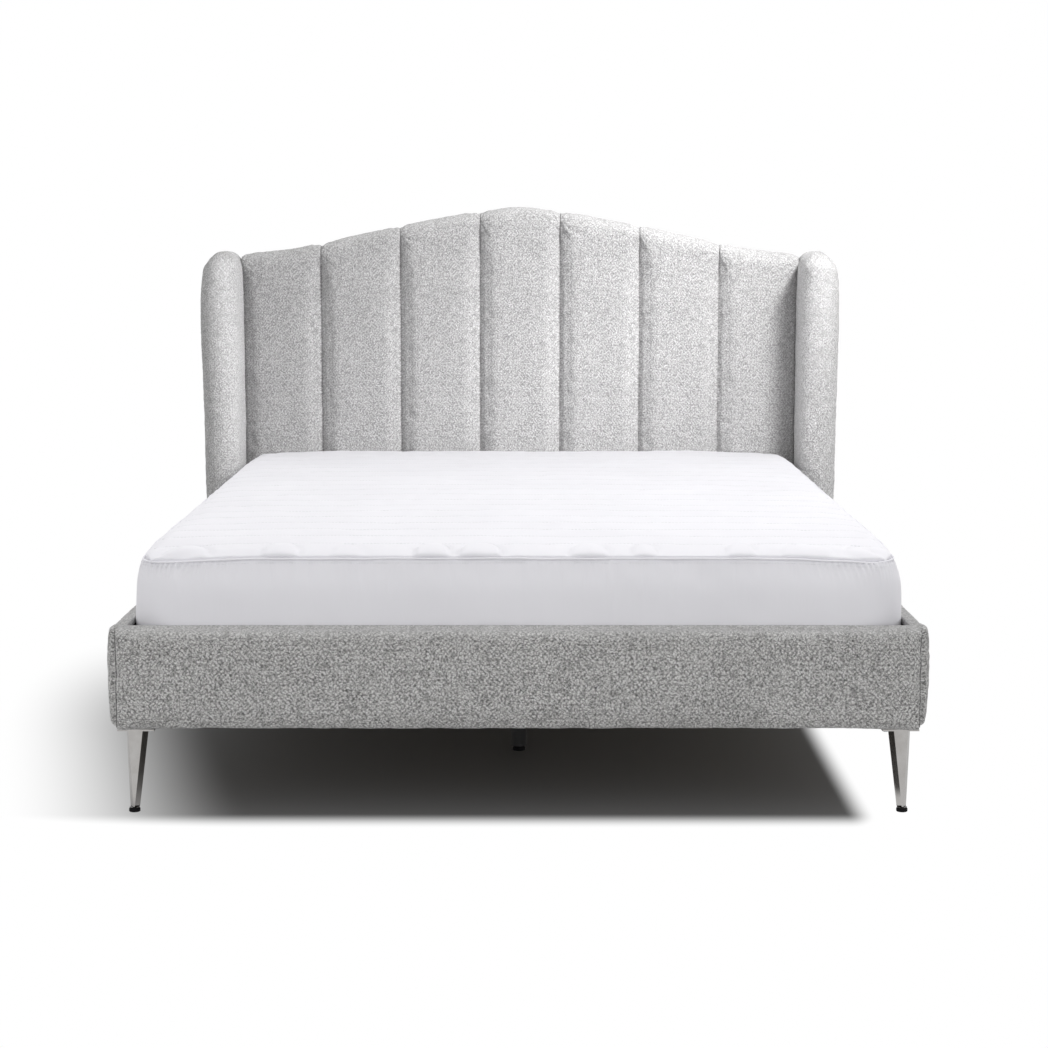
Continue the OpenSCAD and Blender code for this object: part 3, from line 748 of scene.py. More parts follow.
@dataclass(frozen=True)
class Lining(Finish):
    """Black bonded-fibre cloth with a grid of pressed dots."""

    name: str = "lining"
    colour: Colour = (0.022, 0.022, 0.024)
    dot: Colour = (0.05, 0.05, 0.053)
    pitch: float = 0.004
    fibre: tuple[float, float, float] = (0.003, 0.003, 0.0012)
    depth: float = 0.0006

    def mix(self, recipe: Recipe) -> None:
        """Mixes the look in a material's tree."""
        dots = recipe.add("ShaderNodeTexVoronoi", Vector=recipe.placed(self.pitch, (45, 45, 0)), Scale=1.0,
                          Randomness=0.15)
        pressed = recipe.spread(dots.outputs["Distance"], 0.22, 0.34)
        height = recipe.calculate("MULTIPLY_ADD", recipe.noise(self.fibre, 4), 0.6, pressed)
        recipe.set(Base_Color=recipe.blend(recipe.spread(height, 0.2, 1.4), self.dot, self.colour),
                   Roughness=0.9)
        recipe.relief(height, self.depth, 0.8)


@dataclass(frozen=True)
class Metal(Finish):
    """Bare or plated metal with fine brushing, a little wear and, on a leg, near-black below a given
    height.
    """

    name: str
    colour: Colour
    tarnish: Colour
    roughness: float
    brushing: tuple[float, float, float]
    ankle: float = 0.0
    ankle_edge: float = 0.001
    black: Colour = (0.03, 0.03, 0.03)
    cloud: float = 0.03
    depth: float = 0.0001

    def mix(self, recipe: Recipe) -> None:
        """Mixes the look in a material's tree."""
        brush = recipe.noise(self.brushing, 3)
        cloud = recipe.spread(recipe.noise(self.cloud, 3), 0.35, 0.7)
        rough = recipe.spread(recipe.calculate("ADD", brush, cloud), 0.3, 1.7,
                              self.roughness * 0.75, self.roughness * 1.35)
        colour = recipe.blend(cloud, self.colour, self.tarnish)
        if self.ankle:
            height = recipe.add("ShaderNodeSeparateXYZ", Vector=recipe.place).outputs["Z"]
            above = recipe.spread(height, self.ankle, self.ankle + self.ankle_edge)
            colour = recipe.blend(above, self.black, colour)
        recipe.set(Base_Color=colour, Roughness=rough, Metallic=1.0)
        recipe.relief(brush, self.depth, 0.35)


@dataclass(frozen=True)
class Coating(Finish):
    """Moulded plastic or sprayed paint with a fine grain."""

    name: str
    colour: Colour
    rubbed: Colour
    roughness: float
    grain: float
    gloss: float = 0.5
    rub: float = 0.02
    depth: float = 0.0002

    def mix(self, recipe: Recipe) -> None:
        """Mixes the look in a material's tree."""
        grain = recipe.noise(self.grain, 3)
        rub = recipe.spread(recipe.noise(self.rub, 4), 0.55, 0.75)
        recipe.set(Base_Color=recipe.blend(rub, self.colour, self.rubbed), Specular_IOR_Level=self.gloss,
                   Roughness=recipe.spread(grain, 0.2, 0.8, self.roughness * 0.85, self.roughness * 1.2))
        recipe.relief(grain, self.depth, 0.6)


@dataclass(frozen=True)
class Timber(Finish):
    """Sawn timber with growth rings and pores along its grain."""

    name: str
    grain: Grain
    light: Colour = (0.74, 0.55, 0.33)
    dark: Colour = (0.50, 0.32, 0.16)
    ring: float = 0.035
    roughness: float = 0.62
    pore: float = 0.0012
    waver: float = 0.05
    stretch: float = 14.0
    rings: float = 5.0
    depth: float = 0.0004

    def long(self, size: float, stretch: float) -> tuple[float, ...]:
        """Size of a pattern that is stretched along the grain."""
        return tuple(size * stretch if axis == self.grain.value else size for axis in "XYZ")

    def mix(self, recipe: Recipe) -> None:
        """Mixes the look in a material's tree."""
        rings = recipe.calculate("ADD", recipe.noise(self.long(self.ring, self.stretch), distortion=0.6),
                                 recipe.noise(self.long(self.waver, 6)))
        bands = recipe.calculate("FRACT", recipe.calculate("MULTIPLY", rings, self.rings))
        late = recipe.spread(bands, 0.45, 1.0)
        pores = recipe.noise(self.long(self.pore, 2 * self.stretch), 3)
        tone = recipe.calculate("MULTIPLY_ADD", late, 0.7, recipe.calculate("MULTIPLY", pores, 0.45))
        recipe.set(Base_Color=recipe.blend(recipe.spread(tone, 0.1, 1.1), self.light, self.dark),
                   Roughness=self.roughness)
        recipe.relief(pores, self.depth, 0.5)


@dataclass(frozen=True)
class Thread(Finish):
    """Twisted sewing thread."""

    name: str
    colour: Colour
    twist: float = 0.0006
    depth: float = 0.0001

    def mix(self, recipe: Recipe) -> None:
        """Mixes the look in a material's tree."""
        twist = recipe.noise(self.twist, 1)
        recipe.set(Base_Color=recipe.blend(twist, tuple(c * 0.8 for c in self.colour), self.colour),
                   Roughness=0.6, Sheen_Weight=0.3)
        recipe.relief(twist, self.depth)


def worn(finish: Finish) -> Material:
    """Field of a dataclass that holds the material of a finish."""
    return field(default_factory=finish.make)


@dataclass(frozen=True)
class Finishes:
    """Every finish of the bed, made once."""

    boucle: Material = worn(Boucle())
    # Same cloth made paler and flatter for the headboard and wings: painted light, as they stand brighter
    # lit than the rails.
    soft_boucle: Material = worn(Boucle("soft_boucle", (0.245, 0.241, 0.24), (0.495, 0.491, 0.493),
                                        (0.72, 0.716, 0.72)))
    cotton: Material = worn(Cotton())
    ticking: Material = worn(Ticking())
    nickel: Material = worn(Metal("nickel", (0.86, 0.84, 0.82), (0.75, 0.725, 0.70), roughness=0.11,
                                  brushing=(0.0006, 0.0006, 0.03), ankle=0.0102))
    steel: Material = worn(Metal("zinc_steel", (0.62, 0.64, 0.67), (0.50, 0.52, 0.54), roughness=0.38,
                                 brushing=(0.01, 0.01, 0.01)))
    paint: Material = worn(Coating("black_paint", (0.018, 0.018, 0.018), (0.05, 0.05, 0.05),
                                   roughness=0.45, grain=0.0009))
    plastic: Material = worn(Coating("black_plastic", (0.009, 0.009, 0.01), (0.014, 0.014, 0.015),
                                     roughness=0.6, grain=0.0006, gloss=0.08))
    lining: Material = worn(Lining())
    pine_across: Material = worn(Timber("pine_X", Grain.ACROSS))
    pine_along: Material = worn(Timber("pine_Y", Grain.ALONG))
    pine_upright: Material = worn(Timber("pine_Z", Grain.UPRIGHT))
    birch: Material = worn(Timber("birch", Grain.ACROSS, (0.80, 0.66, 0.46), (0.66, 0.50, 0.31),
                                  ring=0.05, roughness=0.4))
    white_thread: Material = worn(Thread("white_thread", (0.79, 0.785, 0.81)))
    # Near-black thread that paints the shadow in the seams at the foot rail's ends.
    dark_thread: Material = worn(Thread("dark_thread", (0.06, 0.058, 0.056)))


# Rows of stitches, staples and piping

class PathTree(Tree):
    """Geometry Nodes that lay something along a path and end in one plain, finished mesh."""

    INPUTS: ClassVar[dict[str, float]] = {}

    def __init__(self) -> None:
        """Builds the tree with a named input for the path, each of its sizes and the finish."""
        super().__init__(bpy.data.node_groups.new(type(self).__name__, "GeometryNodeTree"))
        kinds = {title: "Int" if isinstance(value, int) else "Float"
                 for title, value in self.INPUTS.items()}
        face = self.tree.interface
        self.sockets = {
            title: face.new_socket(title, in_out="INPUT", socket_type=f"NodeSocket{kind}").identifier
            for title, kind in {"Geometry": "Geometry", **kinds, "Finish": "Material"}.items()}
        face.new_socket("Geometry", in_out="OUTPUT", socket_type="NodeSocketGeometry")
        self.given = self.add("NodeGroupInput").outputs
        curve = self.add("GeometryNodeMeshToCurve", Mesh=self.given["Geometry"]).outputs["Curve"]
        plain = self.add("GeometryNodeRealizeInstances", Geometry=self.laid(curve)).outputs["Geometry"]
        dressed = self.add("GeometryNodeSetMaterial", Geometry=plain, Material=self.given["Finish"])
        self.add("NodeGroupOutput", Geometry=dressed.outputs["Geometry"])

    def laid(self, curve: NodeSocket) -> NodeSocket:
        """Lays parts along the curve; each tree has its own."""
        raise NotImplementedError

    def even(self, curve: NodeSocket, step: str) -> NodeSocket:
        """Divides the curve in even steps as long as the input of that name says."""
        return self.add("GeometryNodeResampleCurve", mode="LENGTH", Curve=curve,
                        Length=self.given[step]).outputs["Curve"]

    def along(self, name: str, paths: Sequence[Array], finish: Material,
              **inputs: float) -> Object:
        """Makes one object along the paths.

        Args:
            name: Name of the piece.
            paths: Lines of points to follow; one whose ends meet is closed.
            finish: Its material.
            inputs: The tree's inputs where they differ from the usual.

        Returns:
            The finished plain mesh object.
        """
        piece = path_object(name, paths)
        modifier = piece.modifiers.new("along", "NODES")
        modifier.node_group = self.tree
        for title, value in {**self.INPUTS, **inputs}.items():
            modifier[self.sockets[title]] = value
        modifier[self.sockets["Finish"]] = finish
        settle(piece)
        return piece


class RowTree(PathTree):
    """Sets a small round bar at even steps along a path."""

    INPUTS: ClassVar[dict[str, float]] = {"Pitch": 0.004, "Length": 0.003, "Radius": 0.0004,
                                          "Flatness": 1.0, "Jitter": 0.1, "Seed": 1}

    def laid(self, curve: NodeSocket) -> NodeSocket:
        """Lays the bars along the curve and turns their sides to the surface."""
        tangent = self.add("GeometryNodeInputTangent").outputs["Tangent"]
        normal = self.add("GeometryNodeInputNormal").outputs["Normal"]
        along = self.add("FunctionNodeAlignRotationToVector", axis="Z", Vector=tangent)
        turned = self.add("FunctionNodeAlignRotationToVector", axis="X", pivot_axis="Z",
                          Rotation=along.outputs["Rotation"], Vector=normal)
        part = self.add("GeometryNodeMeshCylinder", Vertices=6, Side_Segments=1,
                        Radius=self.given["Radius"], Depth=self.given["Length"])
        vary = self.add("FunctionNodeRandomValue", data_type="FLOAT", Seed=self.given["Seed"])
        self.feed(vary.inputs[2], self.calculate("SUBTRACT", 1.0, self.given["Jitter"]))
        self.feed(vary.inputs[3], self.calculate("ADD", 1.0, self.given["Jitter"]))
        size = self.add("ShaderNodeCombineXYZ", X=self.given["Flatness"], Y=1.0, Z=vary.outputs[1])
        placed = self.add("GeometryNodeInstanceOnPoints", Points=self.even(curve, "Pitch"),
                          Instance=part.outputs["Mesh"], Rotation=turned.outputs["Rotation"],
                          Scale=size.outputs["Vector"])
        return placed.outputs["Instances"]


class PipingTree(PathTree):
    """Draws a round piping along a path."""

    INPUTS: ClassVar[dict[str, float]] = {"Radius": 0.002, "Step": 0.005}

    def laid(self, curve: NodeSocket) -> NodeSocket:
        """Sweeps a circle along the curve."""
        circle = self.add("GeometryNodeCurvePrimitiveCircle", Resolution=10, Radius=self.given["Radius"])
        sweep = self.add("GeometryNodeCurveToMesh", Curve=self.even(curve, "Step"),
                         Profile_Curve=circle.outputs["Curve"], Fill_Caps=True)
        return self.add("GeometryNodeSetShadeSmooth", Geometry=sweep.outputs["Mesh"]).outputs["Geometry"]


def path_object(name: str, paths: Sequence[Array]) -> Object:
    """Makes an object of bare edges; a path whose ends meet is closed.

    Args:
        name: Name of the object.
        paths: Lines of points.

    Returns:
        The object, linked to the scene.
    """
    points: list[list[float]] = []
    edges: list[tuple[int, int]] = []
    for path in paths:
        closed = np.linalg.norm(path[0] - path[-1]) < MERGE
        kept = path[:-1] if closed else path
        start = len(points)
        points.extend(kept.tolist())
        edges.extend((start + i, start + i + 1) for i in range(len(kept) - 1))
        if closed:
            edges.append((start + len(kept) - 1, start))
    mesh = bpy.data.meshes.new(name)
    mesh.from_pydata(points, edges, [])
    return new_object(name, mesh)


# Upholstery

@dataclass
class Padding:
    """Anything padded: it is drafted, swollen, made finer, given its relief and dressed."""

    name: str
    node: str
    finish: Material
    body: str = "base"
    slot: str = "boucle"
    fill: float = 0.7
    levels: int = 2
    seed: int = 1
    swelling: Swelling = Swelling()
    relief: tuple[Unevenness, ...] = (Unevenness(0.0007, 0.011), Unevenness(0.0003, 0.006, 11),
                                      Unevenness(0.0012, 0.055, 23))
    piece: Object | None = None

    def draft(self) -> Draft:
        """Draws the piece; each kind of padding has its own."""
        raise NotImplementedError

    def shape(self, points: Array) -> Array:
        """Outward offset of each finished point beside the cloth's own relief; none by default."""
        return np.zeros(len(points))

    def rest(self, points: Array) -> Array:
        """Places of the finished points, clear of what lies under the cloth; as they are by default."""
        return points

    def rubbing(self, points: Array) -> Array:
        """How far the cloth is paled at each finished point by wear and painted highlight, from 0 to 1;
        nowhere by default.
        """
        return np.zeros(len(points))

    def build(self) -> None:
        """Makes the first mesh and hands it to the cloth."""
        self.piece = self.draft().finish(self.name)
        self.swelling.start(self.piece)

    def finalise(self) -> None:
        """Finishes the mesh after the cloth has run, and dresses it."""
        self.swelling.finish(self.piece)
        subdivide(self.piece, self.levels)
        mesh = self.piece.data
        points = coordinates(mesh)
        normals = coordinates(mesh, "normal")
        weights = shown_weights(mesh)
        offsets = sum(swellings.at(points, self.seed) for swellings in self.relief)
        offsets += self.shape(points)
        finished = points + normals * (offsets * weights)[:, None]
        set_coordinates(mesh, np.where(weights[:, None] > 0, self.rest(finished), finished))
        mesh.attributes.remove(mesh.attributes[SHOWN])
        rubbed = mesh.attributes.new(RUB_AND_HIGHLIGHT, "FLOAT", "POINT")
        rubbed.data.foreach_set("value", self.rubbing(points).astype(np.float32))
        mesh.materials.clear()
        mesh.materials.append(self.finish)
        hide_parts(self.node)
        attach(self.piece, self.body)
        log.info("%s: %d faces", self.name, len(mesh.polygons))


@dataclass
class Rail(Padding):
    """Padded cover of a rail: a crowned outside round a board, with its ends closed or open."""

    board: str = ""
    side: Side | None = None
    draw: float = 0.004
    edge_r: float = 0.011
    end_r: float = 0.005
    bend_steps: int = 4
    end_steps: int = 3
    cap_rows: int = 5
    rub_top: tuple[float, float] = (0.022, 0.003)
    rub_foot: tuple[float, float] = (0.018, 0.002)
    rub_foot_share: float = 0.6

    DRAGS: ClassVar[Unevenness] = Unevenness(0.0006, 0.03, 5, (1, 1, 0.25))

    def section(self, thick: float, low: float, high: float, inset: float) -> Array:
        """Outline of the outside in depth and height, from the back's top edge to its bottom one.

        Args:
            thick: Depth of the rail.
            low: Its lowest height.
            high: Its highest height.
            inset: How far the outline is drawn in.

        Returns:
            Points of the outline.
        """
        front, top, bottom = inset, high - inset, low + inset
        turn = front + self.draw + self.edge_r
        steps = math.ceil((high - low - 2 * self.edge_r) / CELL)
        flat = math.ceil((thick - self.draw - self.edge_r) / CELL)
        share = np.linspace(1, 0, steps + 1)
        crown = np.stack([front + self.draw * (2 * share - 1) ** 2,
                          bottom + self.edge_r + (top - bottom - 2 * self.edge_r) * share], axis=1)
        return join(span((thick, top), (turn, top), flat),
                    arc((turn, top - self.edge_r), self.edge_r, 90, 180, self.bend_steps), crown,
                    arc((turn, bottom + self.edge_r), self.edge_r, 180, 270, self.bend_steps),
                    span((turn, bottom), (thick, bottom), flat))

    def place(self, along: float, outline: Array) -> Array:
        """Stands an outline at its place along the rail.

        Args:
            along: Place along the rail.
            outline: Points in depth from the outside and height.

        Returns:
            Points in metres in the bed's own frame.
        """
        stations = np.full(len(outline), along)
        if self.side is None:
            front = box(self.node)[0][1]
            return np.stack([stations, front + outline[:, 0], outline[:, 1]], axis=1)
        outer = self.side.value * sides(self.node)[1]
        return np.stack([outer - self.side.value * outline[:, 0], stations, outline[:, 1]], axis=1)

    def draft(self) -> Draft:
        """Draws rings along the rail: the outside, then the room that holds the board."""
        low, high = box(self.node)
        board_low, board_high = box(self.board)
        across = 1 if self.side is None else 0
        way = 1 - across
        thick = high[across] - low[across]
        if self.side is None:
            depth = board_low[1] - low[1]
        else:
            depth = sides(self.node)[1] - sides(self.board)[1]
        start, end = low[way], high[way]
        room_start, room_end = board_low[way], board_high[way]
        rear_open = self.side is not None
        z0, z1 = low[2], high[2]
        straight = self.section(thick, z0, z1, 0)
        room = np.array([(thick, board_low[2]), (depth, board_low[2]), (depth, board_high[2]),
                         (thick, board_high[2]), (thick, z1)])

        def ring(station: float, inset: float, opened: float) -> Array:
            """One ring, whose depth shrinks to the back's edge as it closes over the end."""
            outside = self.section(thick, z0, z1, inset)
            outside[:, 0] = thick + (outside[:, 0] - thick) * opened
            inside = room.copy()
            inside[:, 0] = thick + (inside[:, 0] - thick) * opened
            first = self.place(station, outside)
            second = self.place(float(np.clip(station, room_start, room_end)), inside)
            second[-1] = first[0]
            return np.concatenate([first, second])

        turns = np.radians(np.linspace(0, 90, self.end_steps + 1))
        radius = self.end_r
        rings = [ring(start, radius, k / self.cap_rows) for k in range(self.cap_rows)]
        rings += [ring(start + radius * (1 - math.cos(t)), radius * (1 - math.sin(t)), 1) for t in turns]
        last = end if rear_open else end - radius
        rings += [ring(float(x), 0, 1) for x in line((start + radius,), (last,), CELL)[1:, 0]]
        if not rear_open:
            rings += [ring(end - radius * (1 - math.sin(t)), radius * (1 - math.cos(t)), 1)
                      for t in turns[1:]]
            rings += [ring(end, radius, k / self.cap_rows) for k in range(self.cap_rows - 1, -1, -1)]
        return capped(rings, len(straight))

    def shape(self, points: Array) -> Array:
        """Slight hollows where the padding is pulled round the ends."""
        return self.DRAGS.at(points, self.seed)

    def rubbing(self, points: Array) -> Array:
        """Paled along the top edge as wear and painted highlight where light catches it, and a little
        along the bottom one as wear.
        """
        low, high = box(self.node)
        above = smooth(points[:, 2], *(high[2] - reach for reach in self.rub_top))
        below = smooth(points[:, 2], *(low[2] + reach for reach in self.rub_foot))
        return np.maximum(above, self.rub_foot_share * below)


@dataclass(frozen=True)
class CamelBack:
    """Line of the headboard's top: flat at the crest, sloping down to the wings."""

    crest: float
    shoulder: float
    half_width: float
    crest_end: float = 0.09
    flank_end: float = 0.66
    crest_slope: float = 0.15
    flank_slope: float = 0.24
    end_slope: float = 0.06

    def fall(self, share: Array) -> Array:
        """Fall at a share of the half width, before it is scaled."""
        total = np.zeros_like(share)
        stretches = ((0.0, self.crest_end, 0.0, self.crest_slope),
                     (self.crest_end, self.flank_end, self.crest_slope, self.flank_slope),
                     (self.flank_end, 1.0, self.flank_slope, self.end_slope))
        for start, end, slope0, slope1 in stretches:
            t = np.clip(share - start, 0, end - start)
            total += slope0 * t + (slope1 - slope0) * t * t / (2 * (end - start))
        return total

    def height(self, x: Array) -> Array:
        """Height of the padded top at each place across the bed."""
        share = np.clip(np.abs(x) / self.half_width, 0, 1)
        return self.crest - (self.crest - self.shoulder) * self.fall(share) / self.fall(np.ones(1))

    def height_at(self, x: float) -> float:
        """Height of the padded top at one place."""
        return float(self.height(np.array([x]))[0])


@dataclass
class Channel(Padding):
    """One upright channel of the headboard, whose padding turns over the board's top edge."""

    number: int = 1
    line_of_top: CamelBack | None = None
    width: float = 0.2
    face: float = 0.0
    board_front: float = 0.0
    back: float = 0.0
    foot: float = 0.0
    cap: float = 0.026
    front_r: float = 0.024
    back_r: float = 0.009
    foot_r: float = 0.014
    seam_depth: float = 0.013
    seam_dip: float = 0.003
    seam_power: int = 8
    stitch_depth: float = 0.010
    stitch_power: int = 60
    ease: float = 0.55
    ease_reach: float = 0.075
    foot_steps: int = 4
    front_steps: int = 5
    back_steps: int = 3
    top_points: int = 6
    inside_points: int = 5
    gather: float = 0.0016
    gather_reach: float = 0.045
    gather_start: tuple[float, float] = (0.003, 0.02)
    gather_count: int = 11
    # Share of paleness along the top edge: wear, and painted highlight where light catches it.
    rub: float = 0.3
    rub_top: tuple[float, float] = (0.02, 0.002)

    STEPS: ClassVar[tuple[float, ...]] = (0, 0.14, 0.28, 0.42, 0.55, 0.66, 0.76, 0.84, 0.9, 0.94,
                                          0.97, 0.985, 1)

    def middle(self) -> float:
        """Place of the channel's middle across the bed."""
        half = self.line_of_top.half_width
        return -half + self.width * (self.number - 0.5)

    def ring(self, share: float, steps: int) -> tuple[Array, int]:
        """Outline of the channel at a share of its half width.

        Args:
            share: From -1 at its left seam to 1 at its right one.
            steps: Number of faces up its front.

        Returns:
            Points of the ring and how many of them are outside.
        """
        x = self.middle() + share * self.width / 2
        drawn = abs(share) ** self.seam_power
        crest = self.line_of_top.height_at(x)
        top, under = crest - self.seam_dip * drawn, crest - self.cap
        depth = self.seam_depth * drawn + self.stitch_depth * abs(share) ** self.stitch_power
        heights = np.linspace(self.foot + self.foot_r, top - self.front_r, steps + 1)
        eased = smooth(heights, top - self.ease_reach, top - self.front_r)
        fronts = self.face + depth * (1 - self.ease * eased)
        front, upper = float(fronts[0]), float(fronts[-1])
        outside = join(
            span((self.board_front, self.foot), (front + self.foot_r, self.foot), self.back_steps),
            arc((front + self.foot_r, self.foot + self.foot_r), self.foot_r, -90, -180, self.foot_steps),
            np.stack([fronts, heights], axis=1),
            arc((upper + self.front_r, top - self.front_r), self.front_r, 180, 90, self.front_steps),
            np.stack([np.linspace(upper + self.front_r, self.back - self.back_r, self.top_points),
                      np.full(self.top_points, top)], axis=1),
            arc((self.back - self.back_r, top - self.back_r), self.back_r, 90, 0, self.back_steps),
            np.array([(self.back, top - self.back_r), (self.back, under)]))
        inside = np.array([(self.board_front, under), *(
            (self.board_front, z) for z in np.linspace(under, self.foot, self.inside_points)[1:])])
        ring = np.concatenate([outside, inside])
        return np.stack([np.full(len(ring), x), ring[:, 0], ring[:, 1]], axis=1), len(outside)

    def draft(self) -> Draft:
        """Draws rings across the channel from seam to seam."""
        shares = [-s for s in self.STEPS[:0:-1]] + list(self.STEPS)
        steps = math.ceil((self.line_of_top.height_at(self.middle()) - self.foot) / CELL)
        rings, counts = zip(*(self.ring(share, steps) for share in shares))
        return capped(rings, counts[0])

    def shape(self, points: Array) -> Array:
        """Small gathers that run out from the tops of the seams."""
        offsets = np.zeros(len(points))
        for side in (-1, 1):
            seam = self.middle() + side * self.width / 2
            top = self.line_of_top.height_at(seam) - self.front_r
            across, up = points[:, 0] - seam, points[:, 2] - top
            reach = np.hypot(across, up)
            turn = np.arctan2(up, -side * across)
            fade = np.exp(-reach / self.gather_reach) * smooth(reach, *self.gather_start)
            offsets += self.gather * fade * np.sin(turn * self.gather_count + self.number)
        return offsets

    def rubbing(self, points: Array) -> Array:
        """Paled along the top edge, where hands rest and where light catches it: wear and painted
        highlight.
        """
        top = self.line_of_top.height(points[:, 0])
        return self.rub * smooth(points[:, 2], *(top - reach for reach in self.rub_top))


@dataclass
class Wing(Padding):
    """Padded wing: a rounded front, a domed top that leans back, and room for its timber core."""

    core: str = ""
    side: Side = Side.RIGHT
    flare: float = 0.007
    lean: float = 2.2
    back_r: float = 0.008
    foot_r: float = 0.008
    core_r: float = 0.09
    straight_share: float = 0.8
    slope: float = 0.011
    taper: float = 0.012
    taper_height: float = 0.17
    front_steps: int = 7
    side_steps: int = 14
    cover: float = 0.0025
    give: float = 0.35
    back_depth: float = 0.004
    edge_ease: float = 0.006
    plate_ease: tuple[float, float] = (0.016, 0.002)
    foot_ease: tuple[float, float] = (0.004, 0.02)
    crown_ease: tuple[float, float] = (0.045, 0.005)
    # Share of paleness over the front: wear, and painted highlight where light catches it.
    rub: float = 0.8
    rub_front: float = 0.03
    rub_height: tuple[float, float] = (0.5, 0.05)

    CORE_TURNS: ClassVar[tuple[int, ...]] = (90, 75, 55, 30, 0)
    DOME_TURNS: ClassVar[tuple[int, ...]] = (12, 24, 36, 48, 60, 70, 79, 85, 90)

    def ring(self, share: float, inset: float, height: float) -> Array:
        """Plan of the right wing, starting and ending in the middle of its back.

        Args:
            share: Share of its straight height.
            inset: How far the plan is drawn in.
            height: Height of the ring.

        Returns:
            Points of the ring, the first one repeated at the end.
        """
        low, high = box(self.node)
        inner, outer = sides(self.node)
        outer -= self.flare
        flare = self.flare * (1 - math.cos(math.pi * min(1, share / self.straight_share))) / 2
        x0, x1 = inner + inset, outer + flare - inset
        y0, y1 = low[1] + self.lean * inset, high[1] - inset / 4
        radius = (x1 - x0) / 2
        corner = min(self.back_r, radius)
        middle = (x0 + x1) / 2
        depths = np.linspace(y1 - corner, y0 + radius, self.side_steps + 1)
        half_out = join(span((middle, y1), (x1 - corner, y1), 3),
                        arc((x1 - corner, y1 - corner), corner, 90, 0, 2),
                        np.stack([np.full(len(depths), x1), depths], axis=1),
                        arc((x1 - radius, y0 + radius), radius, 0, -90, self.front_steps))
        half_in = half_out[::-1].copy()
        half_in[:, 0] = 2 * middle - half_in[:, 0]
        plan = join(half_out, half_in)
        return raised(plan, height)

    def draft(self) -> Draft:
        """Draws the room for the core, then the outside from its foot to the top of its dome."""
        low, high = box(self.node)
        core_low, core_high = box(self.core)
        inner, outer = sides(self.node)
        round_r = (outer - self.flare - inner) / 2
        straight_top = high[2] - round_r
        foot, core_top = low[2], core_high[2]
        core_x = sides(self.core)
        base = self.ring(0, 0, foot)

        def core_ring(height: float, closing: float) -> Array:
            """Ring on the core's surface, drawn together by the closing share over its top."""
            rise = max(0.0, height - (core_top - self.core_r))
            front = core_low[1] + self.core_r - math.sqrt(max(0.0, self.core_r ** 2 - rise ** 2))
            ring = base.copy()
            ring[:, 0] = np.clip(ring[:, 0], *core_x)
            ring[:, 0] += closing * (sum(core_x) / 2 - ring[:, 0])
            ring[:, 1] = np.clip(ring[:, 1], front, core_high[1])
            ring[:, 2] = height
            return ring

        curved = core_top - self.core_r * (1 - np.sin(np.radians(self.CORE_TURNS)))
        inside = [core_ring(core_top, 1), *(core_ring(float(z), 0) for z in curved), core_ring(foot, 0)]
        outside = [self.ring(0, self.foot_r * inset, foot + self.foot_r * rise)
                   for inset, rise in ((0.5, 0), (0.125, 0.5), (0, 1))]
        levels = line((foot + self.foot_r,), (straight_top,), CELL)[1:, 0]
        outside += [self.ring((z - foot) / (straight_top - foot), 0, float(z)) for z in levels]
        full = round_r + self.flare / 2
        outside += [self.ring(1, full * (1 - math.cos(t)), straight_top + round_r * math.sin(t))
                    for t in np.radians(self.DOME_TURNS)]
        points = np.array(inside + outside)
        across = (points[..., 0] - inner - round_r) / round_r
        rise = smooth(points[..., 2], straight_top - 3 * self.slope, straight_top + round_r)
        rise[:len(inside)] = 0
        narrow = np.clip((points[..., 2] - high[2]) / self.taper_height + 1, 0, 1) ** 2
        narrow[:len(inside)] = 0
        points[..., 0] -= self.taper * narrow * np.clip(across, 0, 1)
        points[..., 2] -= self.slope * rise * np.clip(across, 0, 1) ** 2
        points[..., 0] *= self.side.value
        shown = np.ones(points.shape[:2])
        shown[:len(inside) + 1] = 0
        sketch = Draft()
        sketch.grid(points, shown)
        return sketch

    def rest(self, points: Array) -> Array:
        """Keeps the cloth of the back outside the brackets that it is stretched over."""
        low, _ = box(self.node)
        _, plate = box("wing_brackets")
        inner = sides(self.node)[0] + self.back_r
        x, y, z = np.abs(points[:, 0]), points[:, 1], points[:, 2]
        over = smooth(x, inner - self.edge_ease, inner)
        over *= smooth(x, *(plate[0] + reach for reach in self.plate_ease))
        over *= smooth(z, *(low[2] + reach for reach in self.foot_ease))
        over *= smooth(z, *(plate[2] + reach for reach in self.crown_ease))
        sunk = np.clip(plate[1] + self.cover - y, 0, None) * (y > plate[1] - self.back_depth)
        moved = points.copy()
        moved[:, 1] += (1 - self.give) * sunk * over
        return moved

    def rubbing(self, points: Array) -> Array:
        """Paled over the rounded front, most of all near its top: wear and painted highlight where light
        catches it.
        """
        low, high = box(self.node)
        front = smooth(points[:, 1], low[1] + self.rub_front, low[1])
        return front * smooth(points[:, 2], *(high[2] - reach for reach in self.rub_height)) * self.rub


# Bedding

